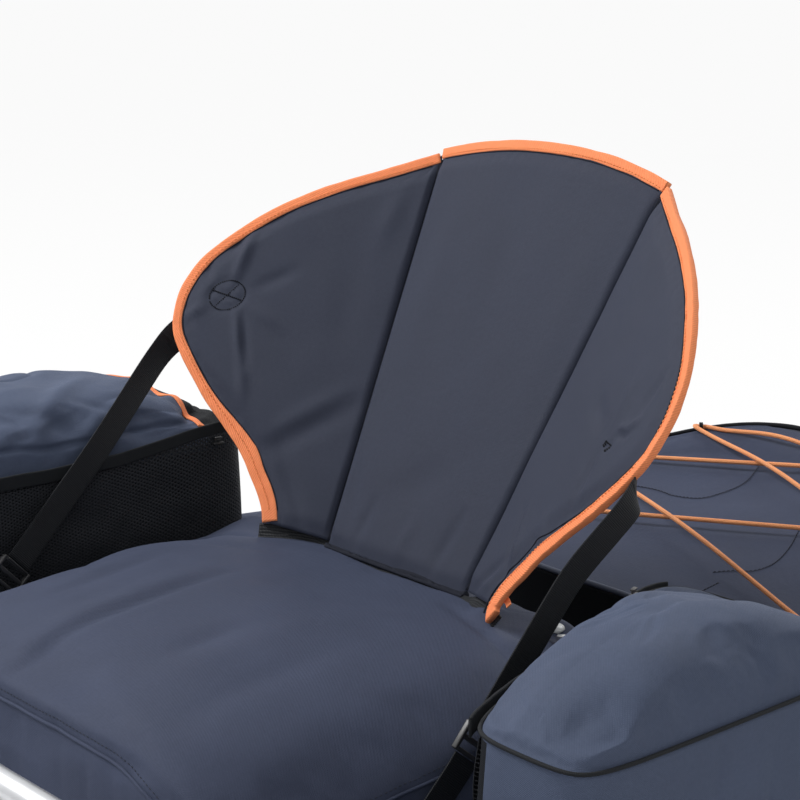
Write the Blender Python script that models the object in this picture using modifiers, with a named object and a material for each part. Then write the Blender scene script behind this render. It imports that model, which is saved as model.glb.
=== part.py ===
"""Inflatable float tube with a crowned seat, armrest pockets and a folding three-panel backrest.

The sitter faces -Y, so the sitter's left is +X. Z is up and the tube stands on Z = 0.
"""

import math

import bmesh
import bpy
import numpy as np
from mathutils import Matrix, Vector

# Hull tubes
TUBE_RADIUS = 0.165
STERN_RADIUS = 0.118
FLAT_DEPTH = 0.003
NOSE_LENGTH = 0.17
NOSE_RISE = 0.03
TIP_RADIUS = 0.003
STERN_RISE = 0.305
STERN_RISE_START = 0.065
HULL_PATH = [
    (0.430, -0.713), (0.430, -0.450), (0.430, -0.200), (0.405, 0.000),
    (0.330, 0.200), (0.215, 0.410), (0.115, 0.552), (0.000, 0.595),
]
ARC_STEPS = 10
BODY_STATIONS = 14
NOSE_STATIONS = 4
COVER_WALL = 0.0012
BLADDER_WALL = 0.0008
CHAMBER_EASE = 0.0030
GAP = 0.0003
LIE = 0.0008
MIDDLE_GAP = 0.0012

# Backrest hinge line on the rear of the seat
HINGE_Y = -0.035
SEAT_RISE = 0.063
RECLINE = math.radians(28.9)
WING_FOLD = math.radians(25.6)

# Backrest panels, measured up the slant
FOLD_HEIGHT = 0.42
BASE_HALF = 0.100
FOLD_TOP_HALF = 0.153
CORE_THICKNESS = 0.008
SKIN = 0.0008
CREASE_HALF = 0.0025
SEAM_RADIUS = 0.0022
BINDING_RADIUS = 0.0055
BEAD_RADIUS = 0.005
BEAD_HALF = 0.097
BINDING_END = 0.1475
CENTRE_TOP = [(0.1535, 0.4235), (0.134, 0.429), (0.100, 0.437), (0.052, 0.444), (0.0, 0.446)]
WING_EDGE = [
    (0.000, 0.424), (0.050, 0.398), (0.100, 0.373), (0.153, 0.340), (0.190, 0.308),
    (0.225, 0.268), (0.239, 0.235), (0.242, 0.210), (0.236, 0.180), (0.215, 0.153),
    (0.190, 0.128), (0.171, 0.111), (0.145, 0.091), (0.118, 0.069), (0.103, 0.050),
    (0.090, 0.035), (0.080, 0.020), (0.075, 0.0065),
]

# Seat cushion
SEAT_FRONT = -0.42
SEAT_BACK = 0.050
SEAT_LAP = 0.023
SEAT_HALF = HULL_PATH[0][0] - TUBE_RADIUS + SEAT_LAP
SEAT_FOOT_HALF = SEAT_HALF - 0.043
SEAT_THICKNESS = 0.190
SEAT_CROWN = 0.016
SEAT_TOP = -0.0073
SEAT_SHOULDER = 0.025
SEAT_FRONT_DROP = 0.030
SEAT_VALVE_AT = (0.203, 0.012)
SLING_WALL = 0.0015

# Rear deck and its lacing
DECK_FRONT = 0.225
DECK_WALL = 0.0012
EDGE_RADIUS = 0.003
LOOP_WIRE = 0.0013
CORD_PASS = 0.007
CORD_INBOARD = 0.0070
CORD_LIFT = 0.0050
BUNGEE_RADIUS = 0.0025
LOOP_YS = (0.225, 0.435, 0.548)
CORD_LIFTS = (0.0, 0.0078, 0.010, 0.0, 0.0078)

# Armrest pockets
POCKET_INNER = {1: SEAT_HALF + 0.030, -1: SEAT_HALF + 0.016}
POCKET_SPLAY = {1: 0.36, -1: 0.15}
POCKET_OUTER = 0.548
POCKET_FRONT = -0.31
POCKET_BACK = {1: 0.042, -1: 0.068}
POCKET_RIM = 0.060
POCKET_WALL = 0.005
POCKET_LIFT = 0.0027
LID_CROWN = 0.063
LID_WALL = 0.004
PIPING_RADIUS = 0.0022
PIPING_ROW = 9
SLIDER = (0.006, 0.013, 0.009)
LID_TAPER = {1: 2.8, -1: 1.0}
MESH_ROWS = 5
MESH_COLUMNS = 15
MESH_DROP = 0.098
HEM_HEIGHT = 0.017
HEM_DEPTH = 0.0035
MESH_STAND = 0.003

# Straps
STRAP_WIDTH = 0.030
STRAP_THICKNESS = 0.0016
STRAP_INBOARD = SEAT_HALF + 0.0205
ADJUSTER_OUT = SEAT_HALF + 0.015
ANCHOR_OUT = SEAT_HALF + 0.0015
ADJUSTER = (STRAP_WIDTH + 0.010, 0.026, 0.006)
STRAP_STITCH = {1: (0.142, 0.178), -1: (0.189, 0.227)}
STRAP_PASS = {1: (0.232, 0.156), -1: (0.244, 0.172)}
ADJUSTER_AT = {1: (ADJUSTER_OUT, -0.180, -0.028), -1: (ADJUSTER_OUT, -0.243, -0.028)}
ANCHOR_AT = {1: (ANCHOR_OUT, -0.262, -0.126), -1: (ANCHOR_OUT, -0.325, -0.126)}

# Fittings
SEAT_VALVE_NECK = 0.0070
VALVE_NECK = 0.015
VALVE_FLANGE = 0.026
VALVE_CAP = 0.022
BAR_Y = -0.53
BAR_RADIUS = 0.0125
BAR_FLOOR = 0.012
BAR_TAIL = 0.015
HANDLE_HALF = 0.085
HANDLE_RADIUS = 0.010
RING_RADIUS = 0.016
RING_WIRE = 0.003
RING_PATCH = (0.050, 0.040, 0.0022)
LUG_RADIUS = 0.0052

TUBE_CENTRE = TUBE_RADIUS - FLAT_DEPTH
CROWN = TUBE_CENTRE + TUBE_RADIUS
HINGE_Z = CROWN + SEAT_RISE
TILT = math.atan2(FOLD_TOP_HALF - BASE_HALF, FOLD_HEIGHT)

COLOURS = {
    "grey nylon": ((0.085, 0.095, 0.130, 1.0), 0.75, 0.0),
    "dark nylon": ((0.055, 0.060, 0.082, 1.0), 0.75, 0.0),
    "black fabric": ((0.012, 0.012, 0.014, 1.0), 0.85, 0.0),
    "webbing": ((0.016, 0.016, 0.017, 1.0), 0.80, 0.0),
    "orange tape": ((0.900, 0.210, 0.060, 1.0), 0.70, 0.0),
    "orange cord": ((0.900, 0.300, 0.090, 1.0), 0.60, 0.0),
    "foam": ((0.250, 0.250, 0.250, 1.0), 0.95, 0.0),
    "bladder film": ((0.450, 0.460, 0.470, 1.0), 0.35, 0.0),
    "clear valve": ((0.750, 0.770, 0.790, 1.0), 0.30, 0.0),
    "black plastic": ((0.020, 0.020, 0.022, 1.0), 0.40, 0.0),
    "steel": ((0.600, 0.600, 0.610, 1.0), 0.25, 1.0),
    "aluminium": ((0.550, 0.560, 0.580, 1.0), 0.35, 1.0),
}


def clear_scene():
    for obj in list(bpy.data.objects):
        bpy.data.objects.remove(obj, do_unlink=True)


def new_collection(name, helper=False):
    collection = bpy.data.collections.new(name)
    bpy.context.scene.collection.children.link(collection)
    collection.hide_render = helper
    return collection


clear_scene()
PARTS = new_collection("float_tube")
CUTTERS = new_collection("cutters", helper=True)


def material(name):
    found = bpy.data.materials.get(name)
    if found:
        return found
    colour, roughness, metallic = COLOURS[name]
    made = bpy.data.materials.new(name)
    made.use_nodes = True
    shader = made.node_tree.nodes["Principled BSDF"]
    shader.inputs["Base Color"].default_value = colour
    shader.inputs["Roughness"].default_value = roughness
    shader.inputs["Metallic"].default_value = metallic
    return made


def place(name, data, finish, parent=None, matrix=None, origin=None):
    """Links an object; with an origin, its data stays where it is and only the origin moves."""
    obj = bpy.data.objects.new(name, data)
    PARTS.objects.link(obj)
    data.materials.append(material(finish))
    obj.parent = parent
    if matrix is not None:
        obj.matrix_local = matrix
    if origin is not None:
        data.transform(Matrix.Translation(-Vector(origin)))
        obj.location = origin
    return obj


def mesh_from(bm, name, smooth_angle=40.0):
    bmesh.ops.recalc_face_normals(bm, faces=bm.faces)
    data = bpy.data.meshes.new(name)
    bm.to_mesh(data)
    bm.free()
    data.shade_smooth()
    data.set_sharp_from_angle(angle=math.radians(smooth_angle))
    return data


def grid_mesh(name, rows, ring=False, capped=False):
    """Quads over rows of points; a ring row closes on itself, and capped fills the end rows."""
    bm = bmesh.new()
    verts = [[bm.verts.new(point) for point in row] for row in rows]
    count = len(rows[0])
    last = count if ring else count - 1
    for lower, upper in zip(verts, verts[1:]):
        for i in range(last):
            j = (i + 1) % count
            bm.faces.new((lower[i], lower[j], upper[j], upper[i]))
    if capped:
        bm.faces.new(list(reversed(verts[0])))
        bm.faces.new(verts[-1])
    return mesh_from(bm, name)


def sheet(name, rows, wall, finish, offset=-1.0, origin=None):
    """A cloth sheet: an open grid given its thickness by Solidify."""
    obj = place(name, grid_mesh(name, rows), finish, origin=origin)
    solid = obj.modifiers.new("thickness", "SOLIDIFY")
    solid.thickness = wall
    solid.offset = offset
    solid.use_even_offset = True
    return obj


def evaluated_mesh(obj, name):
    """The object's mesh in world space with its modifiers applied, as a closed mesh."""
    bpy.context.view_layer.update()
    graph = bpy.context.evaluated_depsgraph_get()
    data = bpy.data.meshes.new_from_object(obj.evaluated_get(graph))
    data.transform(obj.matrix_world)
    bm = bmesh.new()
    bm.from_mesh(data)
    bmesh.ops.remove_doubles(bm, verts=bm.verts, dist=1e-6)
    bmesh.ops.recalc_face_normals(bm, faces=bm.faces)
    bm.to_mesh(data)
    bm.free()
    data.name = name
    return data


def as_cutter(obj):
    """Turns a part made with the same functions into a hidden cutter."""
    data = evaluated_mesh(obj, obj.name + "_cutter")
    bpy.data.objects.remove(obj)
    cutter = bpy.data.objects.new(data.name, data)
    CUTTERS.objects.link(cutter)
    cutter.hide_render = True
    cutter.display_type = "WIRE"
    return cutter


def boolean(obj, other, operation):
    change = obj.modifiers.new(operation.lower(), "BOOLEAN")
    change.operation = operation
    change.object = other
    change.solver = "EXACT"


def cylinder(name, radius, depth, finish, matrix, sides=20, top_radius=None, parent=None):
    bm = bmesh.new()
    bmesh.ops.create_cone(
        bm, cap_ends=True, segments=sides, radius1=radius,
        radius2=radius if top_radius is None else top_radius, depth=depth,
    )
    return place(name, mesh_from(bm, name), finish, parent, matrix)


def box(name, size, finish, matrix, bevel=0.0, parent=None):
    bm = bmesh.new()
    bmesh.ops.create_cube(bm, size=1.0)
    bmesh.ops.scale(bm, vec=size, verts=bm.verts)
    obj = place(name, mesh_from(bm, name), finish, parent, matrix)
    if bevel:
        edge = obj.modifiers.new("edge", "BEVEL")
        edge.width = bevel
        edge.segments = 1
    return obj


def turned(name, profile, finish, matrix, steps=20, parent=None):
    """A turned piece: (radius, height) points, top first, spun about Z by a Screw modifier."""
    bm = bmesh.new()
    verts = [bm.verts.new((radius, 0.0, height)) for radius, height in profile]
    for upper, lower in zip(verts, verts[1:]):
        bm.edges.new((upper, lower))
    data = bpy.data.meshes.new(name)
    bm.to_mesh(data)
    bm.free()
    obj = place(name, data, finish, parent, matrix)
    spin = obj.modifiers.new("turn", "SCREW")
    spin.steps = steps
    spin.render_steps = steps
    spin.use_merge_vertices = True
    spin.merge_threshold = 1e-5
    return obj


def tube(name, points, radius, finish, parent=None, sides=2, cyclic=False, origin=None):
    """A cord, bead or bar: a POLY curve with a round bevel and filled caps."""
    curve = bpy.data.curves.new(name, "CURVE")
    curve.dimensions = "3D"
    curve.bevel_depth = radius
    curve.bevel_resolution = sides
    curve.use_fill_caps = True
    spline = curve.splines.new("POLY")
    spline.points.add(len(points) - 1)
    for target, point in zip(spline.points, points):
        target.co = (*point, 1.0)
    spline.use_cyclic_u = cyclic
    return place(name, curve, finish, parent, origin=origin)


def plate(name, outline, thickness, finish, parent=None):
    """A flat panel: a 2D curve outline extruded by half its thickness each way."""
    curve = bpy.data.curves.new(name, "CURVE")
    curve.dimensions = "2D"
    curve.fill_mode = "BOTH"
    curve.extrude = thickness / 2.0
    spline = curve.splines.new("POLY")
    spline.points.add(len(outline) - 1)
    for target, (x, y) in zip(spline.points, outline):
        target.co = (x, y, 0.0, 1.0)
    spline.use_cyclic_u = True
    return place(name, curve, finish, parent)


def facing(position, direction):
    """A matrix at position whose local Z looks along direction."""
    turn = Vector(direction).to_track_quat("Z", "Y").to_matrix().to_4x4()
    return Matrix.Translation(position) @ turn


def empty(name, position, rotation, parent=None):
    obj = bpy.data.objects.new(name, None)
    PARTS.objects.link(obj)
    obj.parent = parent
    obj.location = position
    obj.rotation_euler = rotation
    return obj


def from_hinge(x, y, z):
    """A point given from the backrest's hinge line."""
    return (x, HINGE_Y + y, HINGE_Z + z)


def smoothstep(value):
    value = min(max(value, 0.0), 1.0)
    return value * value * (3.0 - 2.0 * value)


def path_point(at):
    """The hull centreline in plan: a Catmull-Rom curve, at = 0 at the nose."""
    first = HULL_PATH[0]
    last = HULL_PATH[-1]
    knots = [(first[0], 2.0 * first[1] - HULL_PATH[1][1]), *HULL_PATH]
    knots.append((2.0 * last[0] - HULL_PATH[-2][0], HULL_PATH[-2][1]))
    at = min(max(at, 0.0), len(HULL_PATH) - 1 - 1e-9)
    index = int(at)
    t = at - index
    p0, p1, p2, p3 = (Vector(knot) for knot in knots[index:index + 4])
    point = 0.5 * (
        2.0 * p1 + (p2 - p0) * t + (2.0 * p0 - 5.0 * p1 + 4.0 * p2 - p3) * t * t
        + (3.0 * p1 - p0 - 3.0 * p2 + p3) * t * t * t
    )
    slope = 0.5 * (
        (p2 - p0) + 2.0 * (2.0 * p0 - 5.0 * p1 + 4.0 * p2 - p3) * t
        + 3.0 * (3.0 * p1 - p0 - 3.0 * p2 + p3) * t * t
    )
    return point, slope.normalized()


def path_at_y(y):
    """Where along the centreline a given Y lies, found by bisection."""
    low, high = 0.0, len(HULL_PATH) - 1.0
    for _ in range(40):
        middle = (low + high) / 2.0
        if path_point(middle)[0].y < y:
            low = middle
        else:
            high = middle
    return (low + high) / 2.0


def crown_z(y):
    """Height of the tube's top line, which sweeps up towards the stern."""
    return CROWN + STERN_RISE * max(0.0, y - STERN_RISE_START) ** 2


def tube_radius(y):
    taper = smoothstep((y - STERN_RISE_START) / (HULL_PATH[-1][1] - STERN_RISE_START))
    radius = TUBE_RADIUS + (STERN_RADIUS - TUBE_RADIUS) * taper
    along = (y - HULL_PATH[0][1]) / NOSE_LENGTH
    if along < 1.0:
        radius *= math.sqrt(max(0.0, 1.0 - (1.0 - along) ** 2))
    return max(radius, TIP_RADIUS)


def hull_frame(at, side=1.0):
    """Centre, outboard direction and radius of the tube at one station."""
    point, slope = path_point(at)
    radius = tube_radius(point.y)
    along = min(1.0, (point.y - HULL_PATH[0][1]) / NOSE_LENGTH)
    if along < 1.0:
        height = TUBE_CENTRE + NOSE_RISE * (1.0 - along) ** 2
    else:
        height = crown_z(point.y) - radius
    centre = Vector((side * (point.x + MIDDLE_GAP / 2.0), point.y, height))
    outboard = Vector((side * slope.y, -slope.x, 0.0))
    return centre, outboard, radius


def hull_point(at, angle, side=1.0, raised=0.0):
    """A point on the tube and its outward normal; angle 0 is outboard and 90 is up."""
    centre, outboard, radius = hull_frame(at, side)
    turn = math.radians(angle)
    normal = outboard * math.cos(turn) + Vector((0.0, 0.0, math.sin(turn)))
    point = centre + normal * (radius + raised)
    return Vector((point.x, point.y, max(point.z, -raised))), normal


def hull_stations():
    """Stations along the centreline: close together round the nose, then even to the stern."""
    nose_end = path_at_y(HULL_PATH[0][1] + NOSE_LENGTH)
    stations = []
    for i in range(NOSE_STATIONS):
        lean = i / NOSE_STATIONS * math.pi / 2.0
        stations.append(nose_end * (1.0 - math.cos(lean)))
    length = len(HULL_PATH) - 1.0 - nose_end
    stations += [nose_end + length * i / BODY_STATIONS for i in range(BODY_STATIONS + 1)]
    return stations


def nearest_station(x, y):
    """The station of the centreline nearest to a place in plan, on the left half."""
    at = path_at_y(y)
    for _ in range(8):
        point, slope = path_point(at)
        ahead = (Vector((x, y)) - point).dot(slope)
        at = path_at_y(point.y + ahead * max(slope.y, 0.05))
    return at


def tube_distance(x, y, z=None):
    """Distance from a place to the left tube's surface, or in plan to its centreline."""
    centre, _, radius = hull_frame(nearest_station(x, y))
    plan = math.hypot(x - centre.x, y - centre.y)
    if z is None:
        return plan
    return math.hypot(plan, z - centre.z) - radius


def inner_reach(y, distance, z=None):
    """How far from the middle a place at this Y can go and still keep its distance from the tube."""
    low, high = 0.0, path_point(path_at_y(y))[0].x
    for _ in range(24):
        middle = (low + high) / 2.0
        if tube_distance(middle, y, z) > distance:
            low = middle
        else:
            high = middle
    return low


def hull_covers(label, side):
    """The grey upper and the black lower shell of one pontoon, meeting at the equator."""
    halves = (("upper", 0.0, ARC_STEPS, "grey nylon"), ("lower", 180.0, ARC_STEPS - 1, "black fabric"))
    for half, start, steps, finish in halves:
        rows = []
        for at in hull_stations():
            trim = math.degrees(GAP / hull_frame(at)[2])
            step = (180.0 - 2.0 * trim) / steps
            rows.append([hull_point(at, start + trim + step * i, side)[0] for i in range(steps + 1)])
        if side > 0:
            rows = [row[::-1] for row in rows]
        cover = sheet(f"hull_cover_{half}_{label}", rows, COVER_WALL, finish)
        if half == "upper":
            boolean(cover, valve_bore(label, side, VALVE_NECK + GAP), "DIFFERENCE")


def valve_axis(side):
    return hull_point(path_at_y(0.13), 20.0, side)


def valve_bore(label, side, radius):
    name = f"valve_bore_{label}_{int(radius * 1e5)}"
    point, normal = valve_axis(side)
    return as_cutter(cylinder(name, radius, 0.05, "black plastic", facing(point, normal)))


def air_chamber(label, side):
    """The air chamber: a hollow film tube inside the cover, open at its valve."""
    inset = COVER_WALL + CHAMBER_EASE
    rows = []
    for at in hull_stations()[1:]:
        centre, outboard, radius = hull_frame(at, side)
        along = min(1.0, (centre.y - HULL_PATH[0][1]) / NOSE_LENGTH)
        narrow = inset * (1.0 + 1.5 * (1.0 - along) ** 2)
        ring = []
        for i in range(ARC_STEPS):
            turn = 2.0 * math.pi * i / ARC_STEPS
            normal = outboard * math.cos(turn) + Vector((0.0, 0.0, math.sin(turn)))
            point = centre + normal * (radius - narrow)
            ring.append(Vector((point.x, point.y, max(point.z, inset))))
        rows.append(ring)
    rows[-1] = [point + Vector((side * 0.001, 0.0, 0.0)) for point in rows[-1]]
    name = f"air_chamber_{label}"
    chamber = place(name, grid_mesh(name, rows, ring=True, capped=True), "bladder film")
    film = chamber.modifiers.new("film", "SOLIDIFY")
    film.thickness = BLADDER_WALL
    film.offset = -1.0
    boolean(chamber, valve_bore(label, side, VALVE_NECK + GAP / 2.0), "DIFFERENCE")


def main_valve(label, side):
    """A screw valve through the upper cover, and its cap, both turned about the same axis."""
    point, normal = valve_axis(side)
    seat = facing(point, normal)
    neck = VALVE_NECK - GAP
    lip = 0.0030
    turned(f"main_valve_{label}", [
        (0.0, lip + 0.0060), (neck, lip + 0.0060), (neck, lip + 0.0025), (VALVE_FLANGE, lip + 0.0020),
        (VALVE_FLANGE, lip), (neck, lip), (neck, -0.014), (0.0, -0.014),
    ], "black plastic", seat)
    base = lip + 0.0025 + GAP
    turned(f"main_valve_cap_{label}", [
        (0.0, base + 0.0090), (VALVE_CAP - 0.003, base + 0.0090), (VALVE_CAP, base + 0.0070),
        (VALVE_CAP, base), (neck + GAP, base), (neck + GAP, base + 0.0045), (0.0, base + 0.0045),
    ], "black plastic", seat)


def seat_reach(v):
    """Half the seat's width at its top; v runs from -1 at the front to 1 at the rear."""
    return SEAT_HALF * (1.0 - 0.08 * smoothstep((v - 0.1) / 0.9)) * math.sqrt(1.0 - 0.10 * v * v)


def seat_top(u, v):
    """The seat's top above the hinge line: crowned, and drawn down at its sides and front corners."""
    crown = smoothstep((0.95 - v) / 1.2) * smoothstep((1.0 + v) / 0.5)
    drop = SEAT_SHOULDER * u ** 8 + SEAT_FRONT_DROP * u ** 4 * smoothstep((0.6 - v) / 1.4)
    return SEAT_TOP + SEAT_CROWN * (1.0 - u * u) * crown - drop


def cushion_mesh(name, shrink, cuts=3):
    """The seat's crowned block: drawn-in sides, rounded corners and a foot narrower than its top."""
    bm = bmesh.new()
    bmesh.ops.create_cube(bm, size=2.0)
    bmesh.ops.subdivide_edges(bm, edges=bm.edges, cuts=cuts, use_grid_fill=True)
    for vert in bm.verts:
        u, v, w = (math.copysign(1.0 - (1.0 - abs(t)) ** 2.2, t) for t in vert.co)
        narrow = 1.0 if w > 0 else 1.0 + (SEAT_FOOT_HALF / SEAT_HALF - 1.0) * -w
        x = u * (seat_reach(v) * narrow - shrink)
        middle = (SEAT_FRONT + SEAT_BACK) / 2.0
        half = (SEAT_BACK - SEAT_FRONT) / 2.0 - shrink
        y = middle + v * math.sqrt(1.0 - 0.10 * u * u) * half
        top = seat_top(u, v) - shrink
        foot = -SEAT_THICKNESS + shrink
        z = top if w > 0.99 else foot + (top - foot) * (w + 1.0) / 2.0
        vert.co = from_hinge(x, y, z)
    return mesh_from(bm, name)


def seat():
    """The seat cover with its bladder inside, and the clear valve at the rear left corner."""
    cover = place("seat_cover", cushion_mesh("seat_cover", 0.0), "grey nylon")
    soften = cover.modifiers.new("soften", "SUBSURF")
    soften.levels = 1
    soften.render_levels = 1
    wall = cover.modifiers.new("wall", "SOLIDIFY")
    wall.thickness = COVER_WALL
    wall.offset = -1.0
    bladder = place("seat_bladder", cushion_mesh("seat_bladder", COVER_WALL + 0.002, 2), "bladder film")
    puff = bladder.modifiers.new("puff", "SUBSURF")
    puff.levels = 1
    puff.render_levels = 1
    film = bladder.modifiers.new("film", "SOLIDIFY")
    film.thickness = BLADDER_WALL
    film.offset = -1.0
    x, y = SEAT_VALVE_AT
    v = (2.0 * y - SEAT_FRONT - SEAT_BACK) / (SEAT_BACK - SEAT_FRONT)
    top = from_hinge(x, y, seat_top(x / seat_reach(v), v))
    upright = Matrix.Translation(top)
    bore = as_cutter(cylinder("seat_valve_bore", SEAT_VALVE_NECK + 2.0 * GAP, 0.060, "clear valve", upright))
    boolean(cover, bore, "DIFFERENCE")
    well = as_cutter(cylinder("seat_valve_well", SEAT_VALVE_NECK + GAP, 0.070, "clear valve", upright))
    boolean(bladder, well, "DIFFERENCE")
    turned("seat_valve", [
        (0.0, 0.0040), (SEAT_VALVE_NECK, 0.0040), (SEAT_VALVE_NECK, -0.0290), (0.0, -0.0290),
    ], "clear valve", upright, steps=16)
    turned("seat_valve_plug", [
        (0.0, 0.0085), (0.0080, 0.0085), (0.0095, 0.0070), (0.0095, 0.0043), (0.0, 0.0043),
    ], "clear valve", upright, steps=16)


def span_rows(stations, height, clearance, columns=6):
    """Rows across the boat between the tubes, one for each (y, z) station."""
    rows = []
    for y, z in stations:
        half = inner_reach(y, clearance, z)
        rows.append([(half * (2.0 * i / columns - 1.0), y, z + height) for i in range(columns + 1)])
    return rows


def sling_and_wall():
    """The black floor that carries the seat between the tubes, and the wall behind it."""
    floor_z = HINGE_Z - SEAT_THICKNESS - GAP
    wall_y = HINGE_Y + DECK_FRONT + EDGE_RADIUS
    ys = np.linspace(HINGE_Y + SEAT_FRONT, wall_y - SLING_WALL - GAP, 8)
    sheet("seat_sling", span_rows([(y, floor_z) for y in ys], 0.0, 0.0006), SLING_WALL, "black fabric")
    low = floor_z - SLING_WALL
    high = crown_z(wall_y) - 0.0020
    stations = [(wall_y, low + (high - low) * i / 6.0) for i in range(7)]
    sheet("rear_wall", span_rows(stations, 0.0, 0.0030), SLING_WALL, "black fabric")


def deck_height(x, y):
    """The deck's upper face: over the tube's top line, or over the tube where that is higher."""
    centre, _, radius = hull_frame(nearest_station(abs(x), y))
    plan = min(math.hypot(abs(x) - centre.x, y - centre.y), radius)
    tube_top = centre.z + math.sqrt(radius ** 2 - plan ** 2)
    return max(crown_z(y), tube_top + 0.002) + DECK_WALL + LIE


def rear_deck():
    """The rear deck lies on the tubes' top lines; its hem and edge binding finish its rim."""
    front = HINGE_Y + DECK_FRONT + 2.0 * EDGE_RADIUS + GAP
    back = HULL_PATH[-1][1] - 0.012
    rows = []
    for i in range(11):
        y = front + (back - front) * i / 10.0
        half = inner_reach(y, EDGE_RADIUS + 0.0015)
        xs = [half * (j / 5.0 - 1.0) for j in range(11)]
        rows.append([(x, y, deck_height(x, y)) for x in xs])
    sheet("rear_deck", rows, DECK_WALL, "grey nylon")
    half = path_point(path_at_y(front))[0].x - 2.0 * EDGE_RADIUS
    hem_y = front - EDGE_RADIUS - GAP
    hem_z = deck_height(0.0, hem_y) + EDGE_RADIUS - DECK_WALL
    steps = 8
    hem = [(half * (2.0 * i / steps - 1.0), hem_y, hem_z) for i in range(steps + 1)]
    tube("deck_hem", hem, EDGE_RADIUS, "dark nylon")


def loop_frame(y, side):
    """A lacing loop's foot on the edge cord, its outboard direction and the way along the edge."""
    point, slope = path_point(path_at_y(y))
    foot = Vector((side * point.x, y, crown_z(y) + EDGE_RADIUS + LIE))
    return foot, Vector((side * slope.y, -slope.x, 0.0)), Vector((side * slope.x, slope.y, 0.0))


def loop_centre(y, side):
    """Where the cord runs through a lacing loop, just inboard of the edge cord."""
    foot, outboard, _ = loop_frame(y, side)
    return foot - outboard * CORD_INBOARD + Vector((0.0, 0.0, CORD_LIFT))


def deck_binding(label, side):
    """Black edge cord along the tube's top line, with three lacing loops joined to it."""
    start = path_at_y(HINGE_Y + DECK_FRONT + 2.0 * EDGE_RADIUS)
    end = len(HULL_PATH) - 1.0
    line = []
    for i in range(15):
        at = start + (end - start) * i / 14.0
        point = path_point(at)[0]
        line.append((side * max(point.x, 0.004), point.y, crown_z(point.y) + EDGE_RADIUS + LIE))
    edge = tube(f"raw_binding_{label}", line, EDGE_RADIUS, "black fabric")
    data = evaluated_mesh(edge, f"deck_binding_{label}")
    bpy.data.objects.remove(edge)
    binding = place(data.name, data, "black fabric")
    round_cord = BUNGEE_RADIUS + LOOP_WIRE + 0.0005
    for number, y in enumerate(LOOP_YS):
        foot, outboard, _ = loop_frame(y, side)
        centre = loop_centre(y, side)
        bow = [foot]
        for i in range(7):
            turn = math.radians(35.0 + 145.0 * i / 6.0)
            swing = outboard * math.cos(turn) + Vector((0.0, 0.0, math.sin(turn)))
            bow.append(centre + swing * round_cord)
        name = f"loop_{label}_{number}"
        boolean(binding, as_cutter(tube(name, bow, LOOP_WIRE, "black fabric", sides=1)), "UNION")


def bungee():
    """One orange cord laced criss-cross through the six loops, from one front loop to the other."""
    order = [(0, -1, 1), (1, 1, 1), (2, -1, 1), (2, 1, -1), (1, -1, -1), (0, 1, -1)]
    passes = []
    for index, side, way in order:
        centre = loop_centre(LOOP_YS[index], side)
        through = loop_frame(LOOP_YS[index], side)[2] * way * CORD_PASS
        passes.append((centre - through, centre, centre + through))
    points = [*passes[0][:2]]
    for start, end, lift in zip(passes, passes[1:], CORD_LIFTS):
        for i in range(9):
            t = i / 9.0
            hump = math.sin(math.pi * t) ** 2
            points.append(start[2].lerp(end[0], t) + Vector((0.0, 0.0, lift * hump)))
        points += [end[0], end[1]]
    points.append(passes[-1][2])
    tube("bungee_cord", points, BUNGEE_RADIUS, "orange cord")


def pocket_floor(x, y, raised):
    """Height of the pontoon's top surface under a point of the pocket."""
    centre, _, radius = hull_frame(nearest_station(x, y))
    across = min(math.hypot(x - centre.x, y - centre.y), radius * 0.98)
    return centre.z + math.sqrt(radius ** 2 - across ** 2) + raised


def pocket_plan(u, v, side, inset=0.0):
    """A place in the pocket's plan: u runs outboard and v aft, each from -1 to 1."""
    middle = (POCKET_FRONT + POCKET_BACK[side]) / 2.0
    half = (POCKET_BACK[side] - POCKET_FRONT) / 2.0 - inset
    y = middle + half * v * math.sqrt(1.0 - 0.10 * u ** 4)
    inner = pocket_inner(y, side)
    width = (POCKET_OUTER - inner) / 2.0 - inset
    x = (inner + POCKET_OUTER) / 2.0 + width * u * math.sqrt(1.0 - 0.10 * v ** 8)
    return x, HINGE_Y + y


def pocket_inner(y, side):
    """The pocket's inner face, which splays outboard towards the front."""
    return POCKET_INNER[side] - POCKET_SPLAY[side] * y


def pocket_block(name, side, inset, top, raised, cuts=5):
    """A soft box with rounded corners whose underside follows the pontoon."""
    bm = bmesh.new()
    bmesh.ops.create_cube(bm, size=2.0)
    bmesh.ops.subdivide_edges(bm, edges=bm.edges, cuts=cuts, use_grid_fill=True)
    for vert in bm.verts:
        u, v, w = vert.co
        x, y = pocket_plan(u, v, side, inset)
        low = pocket_floor(x, y, raised)
        z = low + (top - low) * (w + 1.0) / 2.0
        vert.co = (side * x, y, z)
    data = mesh_from(bm, name)
    return place(name, data, "grey nylon")


def lid_dome(u, v, side):
    """How much of its crown the lid has at a place; it slopes down towards the rear."""
    across = (1.0 - abs(u) ** 3.0) ** 0.5
    if side > 0 and u < 0.0:
        across = 1.0 - u * u
    if v < 0.0:
        return across * (1.0 - abs(v) ** 3.5) ** 1.5
    return across * (1.0 - v * v) ** LID_TAPER[side]


def lid_point(i, j, side):
    """A point of the lid's upper face, in row i of 12 aft and column j of 8 outboard."""
    v = math.sin((i / 12.0 - 0.5) * math.pi)
    u = math.sin((j / 8.0 - 0.5) * math.pi)
    x, y = pocket_plan(u, v, side)
    rim = HINGE_Z + POCKET_RIM + GAP
    return Vector((side * x, y, rim + LID_WALL + (LID_CROWN - LID_WALL) * lid_dome(u, v, side)))


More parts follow.
